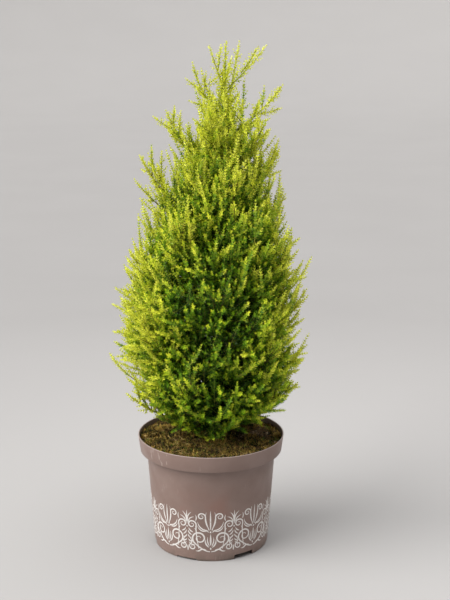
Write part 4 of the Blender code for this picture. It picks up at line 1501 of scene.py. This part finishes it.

# %% [markdown]
# ## The colours of the foliage
# This cultivar turns yellow where light reaches it: at the top, and at the outer tips all over. The
# inside and the foot of the crown stay green. So each whorl gets a share of lemon from its height, from
# how near it lies to the crown's surface and to its shoot's tip, from how far out it stands to the left
# or right, and from chance drawn by spray, by mass and by whorl. That share picks one of twelve plain
# colours, from near black to bright lemon, so it paints light and shade as well as the plant's colour:
# deep inside, the crown is green and also darkened nearly to black as painted shade, and its flanks are
# painted lighter than its middle, and its left side lighter still, where the key light falls. Near the
# top the crown is so thin that light reaches all of it, so depth counts for nothing.

# %% Twelve greens
# The dark end of these colours is painted shade for the inside of the crown, as well as its green
GREENS = (
    (0.004, 0.014, 0.001), (0.008, 0.029, 0.001), (0.016, 0.055, 0.002), (0.031, 0.095, 0.003),
    (0.057, 0.153, 0.005), (0.100, 0.240, 0.008), (0.168, 0.342, 0.012), (0.278, 0.458, 0.018),
    (0.425, 0.568, 0.026), (0.575, 0.672, 0.038), (0.700, 0.756, 0.058), (0.790, 0.820, 0.085),
)
# Between these heights the crown gets so thin that light reaches all of it
THIN_TOP = (0.45, 0.55)
LIT_DEPTH = 0.011
TIP_FADE = 0.014
# The share of lemon to start with, and what height, light, a tip, and standing aside or left add to it.
# Standing aside and standing left add painted light: lighter flanks, and a lighter left side where the key
# light falls
LEMON_BASE, LEMON_HEIGHT, LEMON_LIGHT, LEMON_TIP, ASIDE_PAINTED_LIGHT, LEFT_PAINTED_LIGHT = 0.12, 0.46, 0.30, 0.25, 0.45, 0.10
needle_finishes = [plain_finish(f"needles_{number:02d}", colour, 0.42, 0.5)
                   for number, colour in enumerate(GREENS, 1)]


def lemon_and_painted_light(place, from_tip, chance):
    """How yellow the needles at each place are, from 0 to 1, and how light: the share carries painted light
    and shade too.
    """
    height = place[:, 2]
    away, direction = round_the_trunk(place)
    depth = np.clip(filled_radius(height, direction) - away, 0, 0.04)
    # Painted shade: deeper in the crown the colour goes greener and darker, nearly to black
    light = np.maximum(np.exp(-depth / LIT_DEPTH), np.interp(height, THIN_TOP, (0.0, 1.0)))
    rise = (height - CROWN_FOOT) / (PLANT_TOP - CROWN_FOOT)
    tip = np.exp(-from_tip / TIP_FADE)
    side = place[:, 0] / CROWN_RADIUS
    lemon_with_painted_light = LEMON_BASE + LEMON_HEIGHT * rise + LEMON_LIGHT * light + LEMON_TIP * tip
    # Painted light: the flanks come out lighter than the middle, and the left side lighter where the key
    # light falls
    return lemon_with_painted_light + ASIDE_PAINTED_LIGHT * side**2 - LEFT_PAINTED_LIGHT * side + chance


# %% [markdown]
# ## Needles
# Young foliage has needles a few millimetres long, in whorls of four that stand out from the shoot and
# close up at its tip. A needle is a pointed blade folded along its middle: two faces, so that the whole
# crown can have hundreds of thousands. The fold is deep, so one half of a needle catches the light
# from whichever side it is seen. Each whorl is a point with a heading, a spin, a size and a colour
# number, and a geometry tree puts the same four needles on all of them.

# %% One whorl
NEEDLE_LENGTH = 0.0048
NEEDLE_WIDTH = 0.0018
NEEDLE_LEAN = math.radians(43)
NEEDLE_FOLD = 0.5
NEEDLE_WIDEST = 0.42
NEEDLE_FOOT = 0.00025
WHORL_NEEDLES = 4
corners = []
for index in range(WHORL_NEEDLES):
    corners += folded_blade(math.tau * index / WHORL_NEEDLES, NEEDLE_LEAN, NEEDLE_LENGTH, NEEDLE_WIDTH,
                            NEEDLE_FOLD, NEEDLE_WIDEST, NEEDLE_FOOT)
whorl_object = new_piece("whorl", blades_mesh("whorl", corners))

# %% Where the whorls stand
WHORL_PITCH = 0.0029
# For each rank of shoots: the share of its length from which it is leafy, and the size of its needles
LEAFY_FROM = np.array([0.22, 0.10, 0.22, 0.0, 0.0])
NEEDLE_SIZES = np.array([1.05, 1.0, 1.0, 0.90, 0.85])
# The part of a shoot near its tip where the whorls close up
CLOSED_PART = 0.006
# The share of the size, and of the opening, that a whorl has at the very tip
TIP_SIZE, TIP_OPENING = 0.66, 0.62
TOP_SIZE_LEVELS, TOP_SIZE = (0.50, 0.60), 0.88
WHORL_TURN = math.radians(45)
SIZE_CHANCE, HEADING_CHANCE, SPIN_CHANCE = (0.85, 1.12), 0.07, 0.3
# How much chance moves the lemon of a spray, of a mass and of a whorl
SPRAY_CHANCE, MASS_CHANCE, WHORL_CHANCE = 0.10, 0.055, 0.10


def whorls_of(shoots, rng):
    """Every whorl's place, heading, spin, size and colour number."""
    lengths = shoot_lengths(shoots)
    counts = np.maximum((lengths / WHORL_PITCH).astype(int), 2)
    index, nth = numbered(counts)
    share = (nth + 0.9) / counts[index]
    leafy = share > LEAFY_FROM[shoots["rank"]][index]
    index, nth, share = index[leafy], nth[leafy], np.minimum(share[leafy], 1.0)
    shoot = shoots[index]
    place, heading = along(shoot, share)
    from_tip = (1 - share) * lengths[index]
    heading = heading + rng.normal(0, HEADING_CHANCE, heading.shape)
    near_tip = np.clip(from_tip / CLOSED_PART, 0, 1)
    size = NEEDLE_SIZES[shoot["rank"]] * (TIP_SIZE + (1 - TIP_SIZE) * near_tip)
    size *= rng.uniform(*SIZE_CHANCE, len(index))
    size *= np.interp(place[:, 2], TOP_SIZE_LEVELS, (1.0, TOP_SIZE))
    opening = size * (TIP_OPENING + (1 - TIP_OPENING) * near_tip)
    stretch = np.stack([opening, opening, size * (1.5 - 0.5 * near_tip)], 1)
    spin = nth * WHORL_TURN + rng.uniform(-SPIN_CHANCE, SPIN_CHANCE, len(index))
    by_spray = rng.normal(0, SPRAY_CHANCE, 1000)[shoot["spray"] % 1000]
    by_mass = rng.normal(0, MASS_CHANCE) * np.interp(place[:, 2], THIN_TOP, (1.0, 0.0))
    by_whorl = rng.normal(0, WHORL_CHANCE, len(index))
    # The colour number carries painted light and shade as well as the needles' own colour
    lemon_with_painted_light = lemon_and_painted_light(place, from_tip, by_spray + by_mass + by_whorl)
    tint = np.clip((lemon_with_painted_light * len(GREENS)).astype(int), 0, len(GREENS) - 1)
    return place, heading, spin, stretch, tint


# %% The needle tree
# What each whorl carries: the attribute's name, its kind and the field that holds its values
WHORL_DATA = (("heading", "FLOAT_VECTOR", "vector"), ("spin", "FLOAT", "value"),
              ("stretch", "FLOAT_VECTOR", "vector"), ("tint", "INT", "value"))
needle_tree, tree_in, tree_out = new_tree(
    "needles_on_whorls", "GeometryNodeTree",
    [("Whorls", "Geometry"), ("Whorl", "Object")],
    [("Needles", "Geometry")],
)
whorl_data = {name: stored(needle_tree, name, kind) for name, kind, field in WHORL_DATA}
whorl = add(needle_tree, "GeometryNodeObjectInfo", Object=tree_in["Whorl"])
points = add(needle_tree, "GeometryNodeMeshToPoints", Mesh=tree_in["Whorls"])
aligned = add(needle_tree, "FunctionNodeAlignRotationToVector", {"axis": "Z"}, Vector=whorl_data["heading"])
spun = add(needle_tree, "FunctionNodeAxisAngleToRotation", Axis=(0, 0, 1), Angle=whorl_data["spin"])
turned_on = add(needle_tree, "FunctionNodeRotateRotation", {"rotation_space": "LOCAL"},
                Rotation=aligned, Rotate_By=spun)
copies = add(needle_tree, "GeometryNodeInstanceOnPoints", Points=points, Instance=whorl.outputs["Geometry"],
             Rotation=turned_on, Scale=whorl_data["stretch"])
flow = add(needle_tree, "GeometryNodeRealizeInstances", Geometry=copies)
for number, finish in enumerate(needle_finishes):
    chosen = add(needle_tree, "FunctionNodeCompare", {"data_type": "INT", "operation": "EQUAL"},
                 A_INT=whorl_data["tint"], B_INT=number)
    flow = add(needle_tree, "GeometryNodeSetMaterial", Geometry=flow, Selection=chosen, Material=finish)
needle_tree.links.new(flow.outputs[0], tree_out[0])

# %% Join the needles into pieces
# Every needle has two faces, and a piece stays under 200,000
MOST_WHORLS = 199_000 // (2 * WHORL_NEEDLES)


def mass_nodes(owners):
    """The CAD nodes of masses."""
    names = [branch.name for branch in branches] + ["top"]
    return [f"foliage_{names[owner]}" for owner in owners]


def needles_piece(name, owners, parts):
    """One piece of all the needles of some masses, from what was worked out for the whorls of each."""
    place, *data = (np.concatenate(column) for column in zip(*parts))
    mesh = bpy.data.meshes.new(name + "_whorls")
    mesh.vertices.add(len(place))
    mesh.vertices.foreach_set("co", place.astype(np.float32).ravel())
    for (label, kind, field), values in zip(WHORL_DATA, data):
        store = mesh.attributes.new(label, kind, "POINT")
        store.data.foreach_set(field, values.ravel().astype(np.int32 if kind == "INT" else np.float32))
    piece = new_piece(name, grown(name, mesh, needle_tree, Whorl=whorl_object))
    for left in list(piece.data.attributes):
        if left.name in whorl_data:
            piece.data.attributes.remove(left)
    finish_piece(piece, mass_nodes(owners))


groups, total = [[]], 0
for mass in masses:
    own = all_shoots[all_shoots["mass"] == mass.owner]
    part = whorls_of(own, np.random.default_rng(SEED * 4000 + mass.owner))
    if total + len(part[0]) > MOST_WHORLS:
        groups.append([])
        total = 0
    groups[-1].append((mass.owner, part))
    total += len(part[0])
for number, group in enumerate(groups, 1):
    needles_piece(f"needles_{number:02d}", *zip(*group))
bpy.data.objects.remove(whorl_object, do_unlink=True)

# %% [markdown]
# ## Twigs
# The shoots themselves are thin tapering tubes of three to six sides. Stems are brown, twigs are tan, and
# young shoots are as green as their needles. Each rank is worked out at once, ring by ring, in arrays.

# %% Twig tubes
# For each rank of shoots: the radius at the foot and at the tip, sides, rings and the finish's number
TUBE_FORMS = (
    (0.0012, 0.0005, 6, 8, 0),
    (0.0008, 0.0004, 4, 5, 1),
    (0.0007, 0.00035, 3, 3, 2),
    (0.00045, 0.0003, 3, 1, 2),
    (0.0004, 0.0003, 3, 1, 2),
)
GREEN_WOOD_FROM = 0.49
stem_brown = plain_finish("stem_brown", (0.105, 0.060, 0.028), 0.8)
twig_tan = plain_finish("twig_tan", (0.16, 0.135, 0.035), 0.7)
shoot_green = plain_finish("shoot_green", (0.34, 0.37, 0.05), 0.6)


def tubes(shoots, rank):
    """Closed tapering tubes that end in a point, as corners and faces, with the finish of each face."""
    thick, thin, sides, rings, finish = TUBE_FORMS[rank]
    corners = []
    for share in np.arange(rings) / rings:
        place, heading = along(shoots, np.full(len(shoots), share))
        side, over = frames(heading)
        radius = thick + (thin - thick) * share
        for turn in np.arange(sides) * math.tau / sides:
            corners.append(place + (side * math.cos(turn) + over * math.sin(turn)) * radius)
    corners.append(shoots["tip"])
    verts = np.stack(corners, 1).reshape(-1, 3)
    tip, last = rings * sides, (rings - 1) * sides
    walls = ring_walls(rings, sides)
    ends = [(last + s, last + (s + 1) % sides, tip) for s in range(sides)]
    ends += [(0, s + 1, s) for s in range(1, sides - 1)]
    starts = np.arange(len(shoots))[:, None, None] * (tip + 1)
    faces = (np.array(ends)[None] + starts).reshape(-1, 3).tolist()
    if walls:
        faces += (np.array(walls)[None] + starts).reshape(-1, 4).tolist()
    wood = np.where(shoots["foot"][:, 2] > GREEN_WOOD_FROM, 2, finish)
    return verts, faces, [*np.repeat(wood, len(ends)), *np.repeat(wood, len(walls))]


def twigs_piece(name, shoots, nodes):
    """One piece of the tubes of all ranks of shoots."""
    verts, faces, finishes = [], [], []
    count = 0
    for rank in range(len(TUBE_FORMS)):
        own = shoots[shoots["rank"] == rank]
        if len(own):
            more, sheets, wood = tubes(own, rank)
            verts.append(more)
            faces += [[corner + count for corner in sheet] for sheet in sheets]
            finishes += wood
            count += len(more)
    mesh = new_mesh(name, np.concatenate(verts).tolist(), faces)
    mesh.polygons.foreach_set("material_index", finishes)
    mesh.shade_smooth()
    finish_piece(new_piece(name, mesh, stem_brown, twig_tan, shoot_green), nodes)


half = len(masses) // 2
for name, low, high in (("twigs_lower", 0, half), ("twigs_upper", half, len(masses))):
    own = (all_shoots["mass"] >= low) & (all_shoots["mass"] < high)
    twigs_piece(name, all_shoots[own], mass_nodes(range(low, high)))

# %% [markdown]
# ## Trunk and boughs
# Cypress bark is reddish brown and splits lengthwise into soft strips. The relief is real: each limb is
# a fine tube whose radius is cut by noise that runs much further along the limb than round it. The
# finish follows the same grain.

# %% Limbs with relief
TRUNK_STEPS, TRUNK_RINGS = 36, 220
BOUGH_STEPS, BOUGH_RINGS = 16, 26
FULL_RELIEF_RADIUS = 0.004
# How fine the noise of the strips and of the grain in them is, round a limb and along it
STRIPS_ROUND, STRIPS_ALONG = 3.1, 42
GRAIN_ROUND, GRAIN_ALONG = 8, 160


def limb(points, radii, steps, depth, seed):
    """A closed tube with strips of bark along it."""
    points, radii = np.array(points, float), np.array(radii, float)
    heading = unit(np.gradient(points, axis=0))
    reference = [0.0, 1.0, 0.0] if abs(heading[:, 1].mean()) < 0.6 else [1.0, 0.0, 0.0]
    side = unit(np.cross(heading, reference))
    over = np.cross(heading, side)
    run = np.concatenate([[0], np.cumsum(np.linalg.norm(np.diff(points, axis=0), axis=1))])
    verts = []
    for i, (point, radius) in enumerate(zip(points, radii)):
        for turn in np.arange(steps) * math.tau / steps:
            x, y = math.cos(turn), math.sin(turn)
            strips = noise.noise((x * STRIPS_ROUND + seed, y * STRIPS_ROUND, run[i] * STRIPS_ALONG))
            grain = noise.noise((x * GRAIN_ROUND + seed, y * GRAIN_ROUND, run[i] * GRAIN_ALONG))
            relief = depth * (0.75 * (1 - abs(strips) * 2) ** 2 + 0.35 * grain - 0.5)
            proud = radius + relief * min(1.0, radius / FULL_RELIEF_RADIUS)
            verts.append(point + (side[i] * x + over[i] * y) * proud)
    last = (len(points) - 1) * steps
    ends = [tuple(range(steps))[::-1], tuple(range(last, last + steps))]
    return verts, ring_walls(len(points), steps) + ends


def bark_piece(name, limbs, nodes):
    """One piece of limbs, in bark."""
    verts, faces = [], []
    for more, sheets in limbs:
        faces += [tuple(corner + len(verts) for corner in sheet) for sheet in sheets]
        verts += more
    mesh = new_mesh(name, verts, faces)
    mesh.shade_smooth()
    finish_piece(new_piece(name, mesh, bark), nodes)


# %% Bark
# Between these heights the bark gives way to the green wood of this year
GREEN_WOOD = (0.46, 0.53)
BARK_DARK = (0.045, 0.022, 0.011, 1)
BARK_RED = (0.185, 0.098, 0.052, 1)
BARK_GREY = (0.21, 0.165, 0.125, 1)
BARK_GREEN = (0.12, 0.16, 0.02, 1)
bark, tree, shader = new_finish("bark")
strips = mottling(tree, Scale=520.0, Stretch=0.14, Detail=6.0, From=0.36, To=0.62)
patches = mottling(tree, Scale=70.0, Stretch=0.5, Detail=3.0, From=0.45, To=0.68)
colour = mixed(tree, strips, BARK_DARK, BARK_RED)
colour = mixed(tree, times(tree, patches, 0.45), colour, BARK_GREY)
colour = mixed(tree, band(tree, object_height(tree), *GREEN_WOOD), colour, BARK_GREEN)
surfaced(tree, shader, colour, 0.9, 0.25)
bumped(tree, shader, strips.outputs["Raw"], 0.0006)

# %% Trunk and boughs as pieces
TRUNK_SUNK = 0.0025
BOUGH_OVERLAP = 0.004
TRUNK_RELIEF, BOUGH_RELIEF = 0.0009, 0.0005
heights = np.linspace(SOIL_TOP - TRUNK_SUNK, TRUNK_TOP, TRUNK_RINGS)
trunk_points = np.stack([*trunk_line(heights), heights], 1)
trunk_radii = trunk_radius(np.maximum(heights, SOIL_TOP))
trunk = limb(trunk_points, trunk_radii, TRUNK_STEPS, TRUNK_RELIEF, 1.0)
bark_piece("trunk_bark", [trunk], ["trunk"])
shares = np.linspace(0.0, BOUGH_SHARE + BOUGH_OVERLAP, BOUGH_RINGS)
radii = BOUGH_ROOT_RADIUS + (BOUGH_TIP_RADIUS - BOUGH_ROOT_RADIUS) * np.minimum(shares / BOUGH_SHARE, 1)
bearing = [branch for branch in branches if branch.has_bough]
boughs = [limb([branch.point(share) for share in shares], radii, BOUGH_STEPS, BOUGH_RELIEF, 10.0 + number)
          for number, branch in enumerate(bearing)]
bark_piece("boughs_bark", boughs, [f"bough_{branch.name}" for branch in bearing])

# %% [markdown]
# ## Studio
# The plant stands on a wide plain floor of pale paper that rises into a round wall far away, so that
# the view is plain from all sides. The paper's colour is painted lighter near the plant, a painted pool
# of light that fades out between 0.3 and 1.2 m from it, and darker further off as painted shade, with
# the wall a little lighter again. A large light from the upper left gives the soft shadow at the right
# of the pot. It is a sun lamp with a wide angle, which lights the paper evenly. A weaker one from above
# and a pale sky light what it leaves dark.

# %% Paper
# Painted light and shade: the paper is lighter near the plant and darker far off
PAPER_NEAR_PAINTED_LIGHT = (0.338, 0.331, 0.329, 1)
PAPER_FAR_PAINTED_SHADE = (0.2655, 0.2597, 0.257, 1)
PAPER_WALL = (0.280, 0.274, 0.271, 1)
PAPER_FIBRE = (0.334, 0.327, 0.325, 1)
paper, tree, shader = new_finish("studio_paper")
fibres = mottling(tree, Scale=3.0, Detail=3.0, From=0.3, To=0.7)
place = add(tree, "ShaderNodeTexCoord").outputs["Object"]
away = add(tree, "ShaderNodeVectorMath", {"operation": "LENGTH"}, Vector=place).outputs["Value"]
# The painted pool of light near the plant fades into painted shade further off, then the wall's colour takes
# over
colour = mixed(tree, band(tree, away, 0.3, 1.2), PAPER_NEAR_PAINTED_LIGHT, PAPER_FAR_PAINTED_SHADE)
colour = mixed(tree, band(tree, away, 3.0, 6.0), colour, PAPER_WALL)
colour = mixed(tree, times(tree, fibres, 0.12), colour, PAPER_FIBRE)
surfaced(tree, shader, colour, 0.95, 0.1)
PAPER_RADIUS, PAPER_ROUND, PAPER_TOP = 9.0, 4.0, 9.0
paper_profile = [(0, 0), (PAPER_RADIUS - PAPER_ROUND, 0)]
paper_profile += [(PAPER_RADIUS - PAPER_ROUND * (1 - math.sin(a)), PAPER_ROUND * (1 - math.cos(a)))
                  for a in np.linspace(0.1, math.pi / 2, 14)]
paper_profile.append((PAPER_RADIUS, PAPER_TOP))
backdrop_mesh = plain_mesh(turned("studio_paper", paper_profile, 96))
backdrop_mesh.shade_smooth()
backdrop = new_piece("studio_paper", backdrop_mesh, paper)
backdrop.visible_shadow = False
backdrop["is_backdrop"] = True

# %% Lights
def sun(name, source, strength, width, colour=(1, 1, 1)):
    """A lamp that shines from the direction of a place, as wide as an angle in degrees."""
    data = bpy.data.lights.new(name, "SUN")
    data.energy = strength
    data.angle = math.radians(width)
    data.color = colour
    lamp = bpy.data.objects.new(name, data)
    lamp.rotation_euler = Vector(source).to_track_quat("Z", "Y").to_euler()
    bpy.context.scene.collection.objects.link(lamp)


sun("key", (-1.25, -0.55, 1.1), 4.0, 52, (1.0, 0.985, 0.96))
sun("top", (0.1, -0.1, 1.0), 1.35, 60)
world = bpy.data.worlds.new("sky")
world.use_nodes = True
background = world.node_tree.nodes["Background"]
background.inputs["Color"].default_value = (1.0, 0.99, 0.985, 1)
background.inputs["Strength"].default_value = 1.33
bpy.context.scene.world = world
bpy.context.scene.view_settings.view_transform = "Standard"

# %% [markdown]
# ## Sizes
# The dressed plant is meant to stay the size of its solids. Both boxes are printed to compare.

# %% Finish
low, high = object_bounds()
for label, corners in (("cad box", (*cad_low, *cad_high)), ("visual box", (*low, *high))):
    print(label, [round(measure, 4) for measure in corners])
